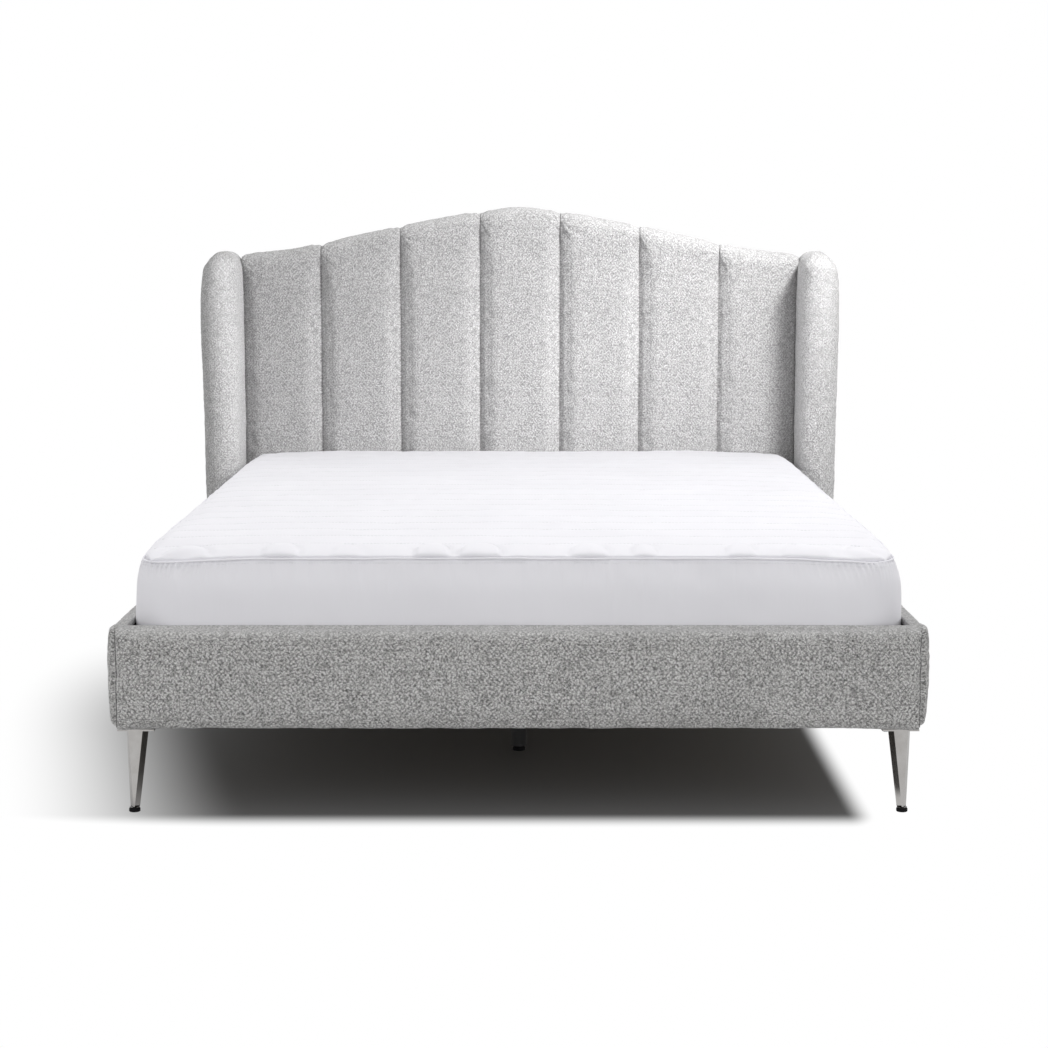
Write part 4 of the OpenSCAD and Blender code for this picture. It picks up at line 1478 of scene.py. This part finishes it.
@dataclass(frozen=True)
class BedOutline:
    """Rounded outline of the mattress and how its corners and sides droop."""

    half_width: float
    start: float
    end: float
    corner: float
    top: float
    bottom: float
    droop: float = 0.009
    droop_reach: float = 0.26
    corner_steps: int = 24
    least_corner: float = 0.01

    def ring(self, inset: float, step: float = 0.02, front_step: float | None = None) -> Array:
        """Outline drawn in by the inset, starting and ending in the middle of the head side.

        Args:
            inset: How far it is drawn in; a negative one goes outside.
            step: Greatest distance between points.
            front_step: The same for the foot side, where it is finer.

        Returns:
            Points in plan, the first one repeated at the end.
        """
        x, y0, y1 = self.half_width - inset, self.start + inset, self.end - inset
        radius = max(self.corner - inset, self.least_corner)
        count = self.corner_steps
        return join(line((0, y1), (x - radius, y1), step),
                    arc((x - radius, y1 - radius), radius, 90, 0, count),
                    line((x, y1 - radius), (x, y0 + radius), step),
                    arc((x - radius, y0 + radius), radius, 0, -90, count),
                    line((x - radius, y0), (-x + radius, y0), front_step or step),
                    arc((-x + radius, y0 + radius), radius, -90, -180, count),
                    line((-x, y0 + radius), (-x, y1 - radius), step),
                    arc((-x + radius, y1 - radius), radius, 180, 90, count),
                    line((-x + radius, y1), (0, y1), step))

    def level(self, points: Array) -> Array:
        """Height of each point as a share of the mattress's own, from its bottom."""
        return (points[..., 2] - self.bottom) / (self.top - self.bottom)

    def inwards(self, points: Array) -> tuple[Array, Array]:
        """How far each point is inside the nearer long side and the nearer end."""
        middle, half_length = (self.start + self.end) / 2, (self.end - self.start) / 2
        return self.half_width - np.abs(points[..., 0]), half_length - np.abs(points[..., 1] - middle)

    def fall(self, points: Array) -> Array:
        """How far the surface drops at each point: more near the corners, none at the base.

        Args:
            points: Places in metres.

        Returns:
            Drops in metres.
        """
        off_x, off_y = self.inwards(points)
        near = smooth(np.hypot(np.maximum(off_x, 0), np.maximum(off_y, 0)), self.droop_reach, 0.0)
        return self.droop * near * np.clip(self.level(points), 0, 1) ** 2

    def drooped(self, points: Array) -> Array:
        """Gives the points after the droop."""
        moved = points.copy()
        moved[..., 2] -= self.fall(points)
        return moved

    def sheet(self, inset_steps: Sequence[tuple[float, float]], cell: float,
              fine: float = 0.0) -> tuple[Array, Array]:
        """Grid of points over the whole outline, with its edge turned down in steps.

        Args:
            inset_steps: Inset and height of each step, from the outermost inwards.
            cell: Greatest size of the cells inside.
            fine: Width of the band along the foot side whose cells are half as long.

        Returns:
            Grid of points, and the inset at each of them.
        """
        insets, heights = np.array(inset_steps).T
        outer = insets.min()
        half_length = (self.end - self.start) / 2
        middle = (self.end + self.start) / 2

        def stations(half: float, fine: float) -> tuple[Array, Array]:
            """Places across one direction and how many steps each is from the nearer edge."""
            inner = line((-half + insets[-1],), (half - insets[-1],), cell)[:, 0]
            if fine > 0:
                turn = -half + insets[-1] + fine
                inner = np.concatenate([line((-half + insets[-1],), (turn,), cell / 2)[:-1, 0],
                                        line((turn,), (half - insets[-1],), cell)[:, 0]])
            places = np.concatenate([-half + insets[:-1], inner, (half - insets[:-1])[::-1]])
            order = np.arange(len(places))
            return places, np.minimum(order, order[::-1])

        xs, order_x = stations(self.half_width, 0)
        ys, order_y = stations(half_length, fine)
        x, y = np.meshgrid(xs, ys, indexing="ij")
        order = np.minimum(order_x[:, None], order_y[None, :])
        z = heights[np.minimum(order, len(heights) - 1)]
        radius = self.corner - outer
        reach_x, reach_y = self.half_width - outer - radius, half_length - outer - radius
        a = np.clip((np.abs(x) - reach_x) / radius, 0, None)
        b = np.clip((np.abs(y) - reach_y) / radius, 0, None)
        both = (a > 0) & (b > 0)
        most = np.maximum(a, b)
        inset = np.where(both, outer + radius * (1 - most),
                         np.minimum(self.half_width - np.abs(x), half_length - np.abs(y)))
        some = np.maximum(most, MERGE)
        turn = np.where(a >= b, b / some, 2 - a / some) * math.pi / 4
        x = np.where(both, np.sign(x) * (reach_x + most * np.cos(turn) * radius), x)
        y = np.where(both, np.sign(y) * (reach_y + most * np.sin(turn) * radius), y)
        return np.stack([x, y + middle, z], axis=-1), inset


@dataclass
class Quilt(Padding):
    """Quilted top of the protector: soft ridges between lines of stitches, puckered at its edge."""

    outline: BedOutline | None = None
    thick: float = 0.012
    shoulder: float = 0.026
    crown: float = 0.005
    pitch: float = 0.1
    ridge: float = 0.0028
    fullness: float = 0.55
    cell: float = 0.0125
    front_reach: float = 0.09
    fine_margin: float = 0.02
    pucker_rise: float = 1.15
    groove: float = 0.6
    groove_at: float = 1.04
    groove_width: float = 0.11

    EDGE_TURNS: ClassVar[tuple[int, ...]] = (-90, -45, 0, 25, 45, 65, 90)
    STRAYING: ClassVar[Unevenness] = Unevenness(0.004, 0.16, 31, (1, 1, 0))
    CRINKLES: ClassVar[Unevenness] = Unevenness(0.0009, 0.03, 7, (1, 0.3, 0))
    CREASES: ClassVar[Unevenness] = Unevenness(0.0012, 0.018, 3, (1, 0.35, 0))
    PUCKERS: ClassVar[tuple[tuple[float, float, float], ...]] = (
        (-0.66, 0.05, 0.006), (-0.47, 0.037, 0.006), (-0.34, 0.03, 0.003), (-0.17, 0.037, 0.007),
        (-0.075, 0.044, 0.007), (0.14, 0.038, 0.006), (0.25, 0.026, 0.004), (0.44, 0.03, 0.005),
        (0.57, 0.05, 0.003), (0.68, 0.03, 0.003))

    def draft(self) -> Draft:
        """Draws the top with its rounded edge, and closes it underneath."""
        radius = self.thick / 2
        base = self.outline.top
        steps = [((radius if t < 0 else self.shoulder) * (1 - math.cos(t)),
                  base + radius + radius * math.sin(t))
                 for t in np.radians(self.EDGE_TURNS)]
        points, inset = self.outline.sheet(steps, self.cell, self.front_reach + self.fine_margin)
        share = np.clip(inset / self.outline.half_width, 0, 1)
        points[..., 2] += self.crown * (1 - (1 - share) ** 2)
        points = self.outline.drooped(points)
        shown = np.ones(points.shape[:2])
        shown[0] = shown[-1] = shown[:, 0] = shown[:, -1] = 0
        sketch = Draft()
        ids = sketch.grid(points, shown, points[..., :2].copy())
        border = np.concatenate([ids[0, :], ids[1:, -1], ids[-1, -2::-1], ids[-2:0:-1, 0]])
        middle = np.array([0, (self.outline.start + self.outline.end) / 2, base])
        sketch.fan(border, middle)
        return sketch

    def wander(self, points: Array) -> Array:
        """How far the lines of stitches stray from straight, in metres."""
        return self.STRAYING.at(points, self.seed)

    def ridge_line(self, points: Array) -> Array:
        """Share of the quilt's fullness at each point: 0 on a line of stitches, 1 between two."""
        phase = (points[:, 1] - self.outline.start + self.wander(points)) / self.pitch
        return np.abs(np.sin(np.pi * phase)) ** self.fullness

    def shape(self, points: Array) -> Array:
        """Ridges of the quilting, creases that cross them, and puckers along the front edge."""
        edge = points[:, 1] - self.outline.start
        top = smooth(points[:, 2], self.outline.top, self.outline.top + self.thick)
        offsets = self.ridge * (self.ridge_line(points) - 1) * top
        offsets += self.CRINKLES.at(points, self.seed) * top
        fade = smooth(edge, self.front_reach, self.fine_margin) * top
        for place, half, height in self.PUCKERS:
            reach = np.hypot((points[:, 0] - place) / half, edge / self.front_reach)
            offsets += self.pucker_rise * height * top * np.sqrt(np.clip(1 - reach ** 2, 0, 1))
            beside = np.exp(-((reach - self.groove_at) / self.groove_width) ** 2)
            offsets -= self.groove * height * top * beside
        return offsets + self.CREASES.at(points, self.seed) * fade


@dataclass
class Skirt(Padding):
    """Stretch side of the protector, full in the middle and drawn in at both edges."""

    outline: BedOutline | None = None
    thick: float = 0.012
    draw: float = 0.016
    draw_power: int = 6
    rows: int = 19
    front_step: float = 0.006
    hem: float = 0.008
    front_reach: float = 0.05
    foot_calm: float = 0.1
    drag: tuple[float, float, float] = (1.0, 1.0, 1.4)
    drag_stretch: float = 0.2
    crease_width: float = 0.006
    crease_lean: float = 0.01
    gather: float = 0.0028
    gather_pitch: float = 0.0125
    gather_lean: float = 14.0
    gather_reach: tuple[float, float] = (0.24, 0.03)
    gather_height: tuple[float, float] = (0.8, 0.97)
    gather_end: tuple[float, float] = (0.1, 0.07)

    UPRIGHT: ClassVar[Unevenness] = Unevenness(0.0021, 0.024, 41, (1, 1, 0.12))
    SLANTING: ClassVar[Unevenness] = Unevenness(0.0011, 0.07, 43)
    CREASES: ClassVar[tuple[tuple[float, float, float], ...]] = (
        (-0.675, 0.55, 0.0022), (-0.62, 0.35, 0.0012), (-0.28, 0.45, 0.001), (0.18, 0.8, 0.0022),
        (0.24, 0.75, 0.0012), (0.5, 0.6, 0.001), (0.71, 0.5, 0.002))

    def ring(self, share: float, outside: float) -> Array:
        """Ring of the skirt at a share of its height.

        Args:
            share: From 0 at the bottom to 1 at the top.
            outside: Distance outside the mattress.

        Returns:
            Points of the ring.
        """
        inset = self.draw * abs(2 * share - 1) ** self.draw_power - outside
        plan = self.outline.ring(0, front_step=self.front_step)
        if abs(inset) > 0:
            steps = np.gradient(plan, axis=0)
            outward = np.stack([-steps[:, 1], steps[:, 0]], axis=1)
            outward /= np.linalg.norm(outward, axis=1, keepdims=True)
            plan = plan - outward * inset
            plan[-1] = plan[0]
        height = self.outline.bottom + share * (self.outline.top - self.outline.bottom)
        return raised(plan, height)

    def draft(self) -> Draft:
        """Draws the outside from its foot up, then the inside down again."""
        rise = (1 - np.cos(np.pi * np.linspace(0, 1, self.rows))) / 2
        outside = [self.ring(float(s), self.thick) for s in rise]
        inside = [self.ring(float(s), 0.0) for s in (1, 0.5, 0)]
        points = self.outline.drooped(np.array(outside + inside + outside[:1]))
        shown = np.zeros(points.shape[:2])
        shown[1:len(outside) - 1] = 1
        sketch = Draft()
        sketch.grid(points, shown)
        return sketch

    def shape(self, points: Array) -> Array:
        """Upright creases below the piping, slanting drags, and gathers at the corners."""
        share = self.outline.level(points)
        high = smooth(share, self.foot_calm, 1.0)
        front = smooth(points[:, 1], self.outline.start + self.front_reach, self.outline.start)
        offsets = self.UPRIGHT.at(points, self.seed) * high ** 2
        along = points @ np.array(self.drag)
        across = self.drag_stretch * (points[:, 0] - points[:, 1])
        slanting = np.stack([along, across, np.zeros(len(points))], axis=1)
        offsets += self.SLANTING.at(slanting, self.seed)
        for place, depth, height in self.CREASES:
            off = points[:, 0] - place - self.crease_lean * (1 - share)
            crease = np.exp(-(off / self.crease_width) ** 2)
            offsets += height * front * crease * smooth(share, 1 - depth, 1.0)
        off_x, off_y = self.outline.inwards(points)
        corner = smooth(np.hypot(off_x, off_y), *self.gather_reach) * smooth(share, *self.gather_height)
        corner *= smooth(off_y, *self.gather_end)
        waves = np.sin((off_x - off_y) * 2 * math.pi / self.gather_pitch + self.gather_lean * share)
        return offsets + self.gather * corner * waves


@dataclass
class Mattress(Padding):
    """Mattress under the protector: drawn in at its top and bottom edges."""

    outline: BedOutline | None = None
    draw: float = 0.014
    draw_power: int = 6
    rim: float = 0.03
    cell: float = 0.08

    SHARES: ClassVar[tuple[float, ...]] = (0, 0.3, 0.6, 0.82, 0.94, 1)

    def draft(self) -> Draft:
        """Draws its upper and lower halves, which meet at half its height."""
        sketch = Draft()
        middle = (self.outline.top + self.outline.bottom) / 2
        half = (self.outline.top - self.outline.bottom) / 2
        for way in (1, -1):
            steps = [(self.draw * s ** self.draw_power, middle + way * half * s) for s in self.SHARES]
            steps.append((self.draw + self.rim, middle + way * half))
            points, _ = self.outline.sheet(steps, self.cell)
            points = self.outline.drooped(points)
            shown = np.zeros(points.shape[:2])
            shown[1:-1, 1:-1] = 1
            sketch.grid(points[::way], shown[::way], points[::way][..., :2].copy())
        return sketch


# Seams

@dataclass(frozen=True)
class Stitch:
    """One kind of stitch or staple: where it belongs, how far apart and how large it is."""

    name: str
    slot: str
    body: str
    seed: int
    pitch: float
    length: float
    radius: float


@dataclass(frozen=True)
class Sewing:
    """Lays rows of stitches and staples on finished surfaces."""

    rows: RowTree
    finishes: Finishes
    quilt_margin: float = 0.02
    quilt_step: float = 0.02
    seam_step: float = 0.01
    away: float = 0.05
    panel: str = "headboard_back_panel"
    panel_steps: int = 30
    staple_inset: float = 0.012
    staple_rise: float = 0.55

    QUILTING: ClassVar[Stitch] = Stitch("quilt_stitches", "cotton", "bedding", 5, 0.0075, 0.005, 0.0006)
    HEM: ClassVar[Stitch] = Stitch("hem_stitches", "cotton", "bedding", 6, 0.0055, 0.0038, 0.0005)
    # Near-black thread at the foot rail's ends: partly a real seam, partly painted shadow of the gap
    # beside the side cover.
    RAIL_END: ClassVar[Stitch] = Stitch("rail_end_seams", "boucle", "base", 7, 0.0042, 0.0036, 0.0013)
    STAPLE: ClassVar[Stitch] = Stitch("panel_staples", "zinc_steel", "base", 8, 0.045, 0.011, 0.0006)

    def sew(self, stitch: Stitch, piece: Object, lines: Sequence[Array],
            ways: Array, finish: Material, closed: bool = False) -> None:
        """Drops lines of points onto a surface and makes a row of stitches along each.

        Args:
            stitch: Kind of stitch.
            piece: Finished piece that it lies on.
            lines: Places outside the surface.
            ways: Direction in which they drop: one for all, or one for each point of a line.
            finish: Material of the stitches.
            closed: Whether each line comes back to its start.
        """
        surface = BVHTree.FromObject(piece, bpy.context.evaluated_depsgraph_get())
        paths = []
        for points in lines:
            found = [surface.ray_cast(Vector(point), Vector(way))[0]
                     for point, way in zip(points, np.broadcast_to(ways, points.shape))]
            path = np.array([tuple(place) for place in found if place is not None])
            paths.append(np.concatenate([path, path[:1]]) if closed else path)
        row = self.rows.along(stitch.name, paths, finish, Seed=stitch.seed, Pitch=stitch.pitch,
                              Length=stitch.length, Radius=stitch.radius)
        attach(row, stitch.body)
        log.info("%s: %d faces", stitch.name, len(row.data.polygons))

    def quilting(self, quilt: Quilt) -> None:
        """Sews the lines of stitches across the quilt.

        Args:
            quilt: Finished quilt.
        """
        outline = quilt.outline
        reach = outline.half_width - self.quilt_margin
        x = line((-reach,), (reach,), self.quilt_step)[:, 0]
        lines = []
        for number in range(1, math.ceil((outline.end - outline.start) / quilt.pitch)):
            y = np.full(len(x), outline.start + number * quilt.pitch)
            points = np.stack([x, y, np.full(len(x), outline.top + 2 * self.away)], axis=1)
            points[:, 1] -= quilt.wander(points)
            lines.append(points)
        self.sew(self.QUILTING, quilt.piece, lines, np.array([0, 0, -1]), self.finishes.white_thread)

    def skirt_edge(self, skirt: Skirt) -> None:
        """Sews one line round the protector just under its piping.

        Args:
            skirt: Finished side of the protector.
        """
        outline = skirt.outline
        ring = outline.ring(0)[:-1]
        corners = np.array([outline.half_width - outline.corner, outline.end - outline.corner])
        inner = np.clip(ring, (-corners[0], outline.start + outline.corner), corners)
        outward = (ring - inner) / np.linalg.norm(ring - inner, axis=1, keepdims=True)
        points = raised(ring + self.away * outward, outline.top - skirt.hem)
        points[:, 2] -= outline.fall(raised(ring, outline.top))
        self.sew(self.HEM, skirt.piece, [points], raised(-outward, 0), self.finishes.white_thread,
                 closed=True)

    def rail_ends(self, rail: Rail) -> None:
        """Sews the upright seam at each end of the foot rail's front, in near-black thread that also
        paints the shadow of the gap there.

        Args:
            rail: Finished cover of the foot rail.
        """
        low, high = box(rail.node)
        edge, front = high[0] - rail.end_r / 4, low[1] - self.away
        lines = [line((side.value * edge, front, low[2] + rail.edge_r),
                      (side.value * edge, front, high[2] - rail.edge_r / 2), self.seam_step)
                 for side in Side]
        self.sew(self.RAIL_END, rail.piece, lines, np.array([0, 1, 0]), self.finishes.dark_thread)

    def staples(self) -> None:
        """Sets staples up both sides of the panel behind the headboard, to a little over half its height,
        and along its bottom edge.
        """
        low, high = box(self.panel)
        back, foot = high[1] + self.away, low[2] + self.staple_inset
        left, right = low[0] + self.staple_inset, high[0] - self.staple_inset
        rise = low[2] + self.staple_rise * (high[2] - low[2])
        lines = [span((edge, back, foot), (edge, back, rise), self.panel_steps) for edge in (left, right)]
        lines.append(span((left, back, foot), (right, back, foot), 2 * self.panel_steps))
        self.sew(self.STAPLE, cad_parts[self.panel], lines, np.array([0, -1, 0]), self.finishes.steel)


@dataclass(frozen=True)
class Piping:
    """Round piping between the top and the side of the protector."""

    name: str = "protector_edge"
    radius: float = 0.002
    step: float = 0.005
    bend_step: float = 0.006
    clear: float = 0.00005
    waver: Unevenness = Unevenness(0.0012, 0.05, 3, (1, 1, 0))
    fill: float = 0.9

    def build(self, outline: BedOutline, quilt_edge: float, finish: Material) -> None:
        """Lays it in the notch under the quilt's rounded edge.

        Args:
            outline: Outline of the mattress.
            quilt_edge: Radius of the quilt's edge.
            finish: Its material.
        """
        reach = (quilt_edge + self.radius + self.clear) * math.sqrt(0.5)
        plan = outline.ring(quilt_edge - reach, self.bend_step)
        path = outline.drooped(raised(plan, outline.top + quilt_edge - reach))
        path[:, 2] += self.waver.at(path, 0)
        path[-1] = path[0]
        piping = PipingTree().along(self.name, [path], finish, Radius=self.radius, Step=self.step)
        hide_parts("protector_piping")
        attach(piping, "bedding")
        log.info("%s: %d faces", self.name, len(piping.data.polygons))


# What stays as the frame has it

@dataclass(frozen=True)
class Hardware:
    """Nodes of the frame whose shape stays, each with its finish."""

    finishes: Finishes

    def groups(self) -> list[tuple[Material, tuple[str, ...]]]:
        """Lists each finish with the nodes that wear it."""
        made = self.finishes
        corners = [f"{end}_{side.name.lower()}" for end in ("front", "rear") for side in Side]
        blocks, legs, glides = (
            tuple(f"{corner}_{part}" for corner in corners) for part in ("corner_block", "leg", "glide"))
        return [
            (made.birch, ("left_slats", "right_slats")),
            # The rail boards wear the black lining where they show beside the mattress: a dark sheet as
            # painted shade in those gaps.
            (made.lining, ("headboard_back_panel", "foot_rail_board", "left_side_board",
                           "right_side_board")),
            (made.pine_across, ("head_rail", "headboard_board")),
            (made.pine_along, ("centre_beam", "left_ledger", "right_ledger")),
            (made.pine_upright, ("left_wing_core", "right_wing_core", *blocks)),
            (made.nickel, legs),
            (made.paint, ("front_centre_leg", "rear_centre_leg")),
            (made.plastic, ("front_levelling_foot", "rear_levelling_foot", "left_slat_holders",
                            "right_slat_holders", "centre_slat_holders", *glides)),
            (made.steel, ("corner_bolts", "ledger_screws", "centre_beam_brackets", "leg_screws",
                          "centre_leg_screws", "headboard_bolts", "wing_brackets",
                          "wing_bracket_screws"))]

    def dress(self) -> None:
        """Gives each of these nodes its material."""
        for material, nodes in self.groups():
            for node in nodes:
                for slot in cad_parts[node].material_slots:
                    slot.material = material
                log.info("%s: %s", node, material.name)


# Studio

@dataclass(frozen=True)
class Lamp:
    """Soft box that lights every piece, only those that are lit, or all but those left unlit."""

    name: str
    at: tuple[float, float, float]
    towards: tuple[float, float, float]
    size: tuple[float, float]
    power: float
    spread: float = 180.0
    lit: tuple[str, ...] = ()
    unlit: tuple[str, ...] = ()

    def hang(self) -> None:
        """Adds it to the scene."""
        data = bpy.data.lights.new(self.name, "AREA")
        data.shape = "RECTANGLE"
        data.size, data.size_y = self.size
        data.energy = self.power
        data.spread = math.radians(self.spread)
        lamp = new_object(self.name, data)
        lamp.location = self.at
        lamp.rotation_euler = (Vector(self.towards) - Vector(self.at)).to_track_quat("-Z", "Y").to_euler()
        if self.lit or self.unlit:
            chosen = bpy.data.collections.new(f"{self.name}_pieces")
            for piece in (*self.lit, *self.unlit):
                chosen.objects.link(bpy.data.objects[piece])
            for entry in chosen.collection_objects:
                entry.light_linking.link_state = "INCLUDE" if self.lit else "EXCLUDE"
            lamp.light_linking.receiver_collection = chosen


@dataclass(frozen=True)
class Studio:
    """Pale floor, soft light from high on the right, and the camera at the photograph's angle."""

    camera_at: tuple[float, float, float] = (0.0113, -5.279, 1.1456)
    camera_tilt: float = 82.336
    lens: float = 75.22
    sensor: float = 36.0
    floor_reach: float = 30.0
    shade: Colour = (0.16, 0.16, 0.16)
    right_shade: tuple[float, float] = (0.645, 0.06)
    left_shade: tuple[float, float] = (0.53, 0.5)
    front_shade: tuple[float, float] = (1.06, 0.11)
    back_shade: tuple[float, float] = (0.9, 0.2)
    left_skew: float = 0.24
    left_back_shade: tuple[float, float] = (-0.4, 1.3)
    beside: tuple[float, float] = (-0.6, -0.95)
    seen: float = 1.0
    glow: float = 0.5
    ambient: tuple[float, float] = (1.36, 0.56)

    WHITE: ClassVar[Colour] = (1.0, 1.0, 1.0)
    BEDDING: ClassVar[tuple[str, ...]] = ("protector_quilt", "protector_side", "protector_edge",
                                          "quilt_stitches", "hem_stitches")
    LAMPS: ClassVar[tuple[Lamp, ...]] = (
        Lamp("key", (1.5, -0.35, 2.3), (-0.05, 1.05, 0.45), (0.45, 0.35), 13.0, 66, unlit=BEDDING),
        Lamp("side", (1.3, -0.9, 1.55), (-0.85, 0.92, 0.8), (0.4, 0.3), 1.9, 40,
             lit=("left_wing_upholstery",)),
        Lamp("fill", (-1.7, -0.5, 1.6), (0.5, 0.7, 0.75), (0.9, 0.6), 10, 110,
             lit=("right_wing_upholstery",)),
        Lamp("top", (1.1, 0.0, 3.8), (0.1, 0.0, 0.5), (1.0, 1.0), 46, lit=BEDDING))

    def camera(self) -> None:
        """Adds the camera."""
        data = bpy.data.cameras.new("camera")
        data.lens = self.lens
        data.sensor_width = self.sensor
        camera = new_object("camera", data)
        camera.location = self.camera_at
        camera.rotation_euler = (math.radians(self.camera_tilt), 0, 0)
        bpy.context.scene.camera = camera

    def shaded(self, recipe: Recipe) -> NodeSocket:
        """Share of the way out of the floor's shade.

        Args:
            recipe: Material of the floor.

        Returns:
            0 in the shade under the bed and 1 on the white floor round it.
        """
        calculate = recipe.calculate
        apart = recipe.add("ShaderNodeSeparateXYZ", Vector=recipe.place).outputs
        x, y = apart["X"], apart["Y"]

        def beyond(place: NodeSocket, way: float, edge: tuple[float, float]) -> NodeSocket:
            """Share of the way past one edge of the shade, 0 inside it."""
            start, width = edge
            return calculate("MAXIMUM", calculate("MULTIPLY_ADD", place, way / width, -start / width), 0.0)

        skewed = calculate("MULTIPLY_ADD", calculate("ADD", y, self.front_shade[0]), self.left_skew, x)
        off_x = calculate("ADD", beyond(x, 1, self.right_shade), beyond(skewed, -1, self.left_shade))
        off_y = calculate("ADD", beyond(y, 1, self.back_shade), beyond(y, -1, self.front_shade))
        beside = recipe.spread(x, *self.beside)
        off_y = calculate("MULTIPLY_ADD", beyond(y, 1, self.left_back_shade), beside, off_y)
        away = calculate("SQRT", calculate("ADD", calculate("MULTIPLY", off_x, off_x),
                                           calculate("MULTIPLY", off_y, off_y)))
        return recipe.spread(away, 0.0, 1.0, kind="SMOOTHSTEP")

    def floor(self) -> None:
        """Adds a floor that glows evenly white away from the bed and is grey in its shade."""
        mesh = bpy.data.meshes.new("floor")
        reach = self.floor_reach
        corners = [(-reach, -reach, 0), (reach, -reach, 0), (reach, reach, 0), (-reach, reach, 0)]
        mesh.from_pydata(corners, [], [(0, 1, 2, 3)])
        recipe = Recipe("floor")
        recipe.set(Base_Color=self.shade, Roughness=0.8, Specular_IOR_Level=0.1)
        ray = recipe.add("ShaderNodeLightPath").outputs["Is Camera Ray"]
        glow = recipe.add("ShaderNodeEmission", Color=self.WHITE,
                          Strength=recipe.spread(ray, 0.0, 1.0, self.glow, self.seen))
        lit = recipe.mixed(self.shaded(recipe), recipe.shader.outputs["BSDF"], glow.outputs[0])
        recipe.feed(recipe.output.inputs["Surface"], lit)
        mesh.materials.append(recipe.material)
        new_object("floor", mesh)

    def room(self) -> None:
        """Adds the white surroundings: bright to look at, and as a light gentler from above."""
        world = bpy.data.worlds.new("room")
        world.use_nodes = True
        world.node_tree.nodes.clear()
        tree = Tree(world.node_tree)
        way = tree.add("ShaderNodeTexCoord").outputs["Generated"]
        height = tree.add("ShaderNodeSeparateXYZ", Vector=way).outputs["Z"]
        dome = tree.spread(height, 0.0, 1.0, *self.ambient)
        shed = tree.add("ShaderNodeBackground", Color=self.WHITE, Strength=dome)
        seen = tree.add("ShaderNodeBackground", Color=self.WHITE, Strength=self.seen)
        ray = tree.add("ShaderNodeLightPath").outputs["Is Camera Ray"]
        tree.add("ShaderNodeOutputWorld", Surface=tree.mixed(ray, shed.outputs[0], seen.outputs[0]))
        bpy.context.scene.world = world

    def build(self) -> None:
        """Sets up everything around the bed."""
        self.camera()
        self.floor()
        self.room()
        bpy.context.scene.view_settings.view_transform = "Standard"

    def light(self) -> None:
        """Adds the lamps, once there are pieces for them to light."""
        for lamp in self.LAMPS:
            lamp.hang()


# The bed

@dataclass(frozen=True)
class Upholstery:
    """Padded parts of the bed frame and of its bedding, not yet built."""

    finishes: Finishes
    channels: int = 7
    shoulder: float = 1.071
    mattress_corner: float = 0.075

    def frame_sides(self) -> list[Padding]:
        """Foot rail, side rails and wings."""
        made = self.finishes
        parts: list[Padding] = [Rail("foot_rail_upholstery", "foot_rail_cover", made.boucle,
                                     board="foot_rail_board", seed=3)]
        for side in Side:
            word = side.name.lower()
            parts.append(Rail(f"{word}_side_upholstery", f"{word}_side_cover", made.boucle,
                              board=f"{word}_side_board", side=side, end_r=0.006, seed=7 + side.value))
            parts.append(Wing(f"{word}_wing_upholstery", f"{word}_wing_cover", made.soft_boucle,
                              core=f"{word}_wing_core", side=side, seed=17 + side.value, fill=0.8))
        return parts

    def headboard(self) -> list[Padding]:
        """Upright channels of the headboard under one camel-back line."""
        nodes = [f"headboard_channel_{number}" for number in range(1, self.channels + 1)]
        low, _ = box(nodes[0])
        _, high = box(nodes[-1])
        _, crest = box(nodes[self.channels // 2])
        board_low, _ = box("headboard_board")
        half = -float(low[0])
        top = CamelBack(float(crest[2]), self.shoulder, half)
        return [Channel(f"channel_{number}_upholstery", node, self.finishes.soft_boucle, number=number,
                        line_of_top=top, width=2 * half / self.channels, face=float(low[1]),
                        board_front=float(board_low[1]), back=float(high[1]), foot=float(low[2]),
                        seed=30 + number, fill=0.8) for number, node in enumerate(nodes, 1)]

    def bedding(self) -> tuple[Mattress, Skirt, Quilt]:
        """Mattress, and the side and the quilted top of its protector."""
        made = self.finishes
        low, high = box("mattress_core")
        outline = BedOutline(float(high[0]), float(low[1]), float(high[1]), self.mattress_corner,
                             float(high[2]), float(low[2]))
        common = {"body": "bedding", "levels": 1, "outline": outline}
        return (Mattress("mattress_body", "mattress_core", made.ticking, slot="ticking",
                         relief=(Unevenness(0.002, 0.2, 23),), **common),
                Skirt("protector_side", "protector_skirt", made.cotton, slot="cotton", fill=0.5,
                      relief=(Unevenness(0.001, 0.1, 23),), **common),
                Quilt("protector_quilt", "protector_top", made.cotton, slot="cotton", fill=0.5,
                      relief=(Unevenness(0.0015, 0.14, 23),), **common))


def main() -> None:
    """Builds the bed and its surroundings in order."""
    logging.basicConfig(level=logging.INFO, format="%(name)s: %(message)s")
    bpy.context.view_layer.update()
    studio = Studio()
    studio.build()
    finishes = Finishes()
    upholstery = Upholstery(finishes)
    foot_rail, *others = upholstery.frame_sides() + upholstery.headboard()
    mattress, skirt, quilt = upholstery.bedding()
    padded = (foot_rail, *others, mattress, skirt, quilt)
    for part in padded:
        part.build()
    run_cloth(Swelling().last_frame)
    for part in padded:
        part.finalise()
    sewing = Sewing(RowTree(), finishes)
    sewing.quilting(quilt)
    sewing.skirt_edge(skirt)
    sewing.rail_ends(foot_rail)
    sewing.staples()
    Piping().build(quilt.outline, quilt.thick / 2, finishes.cotton)
    Hardware(finishes).dress()
    studio.light()


if __name__ == "__main__":
    main()
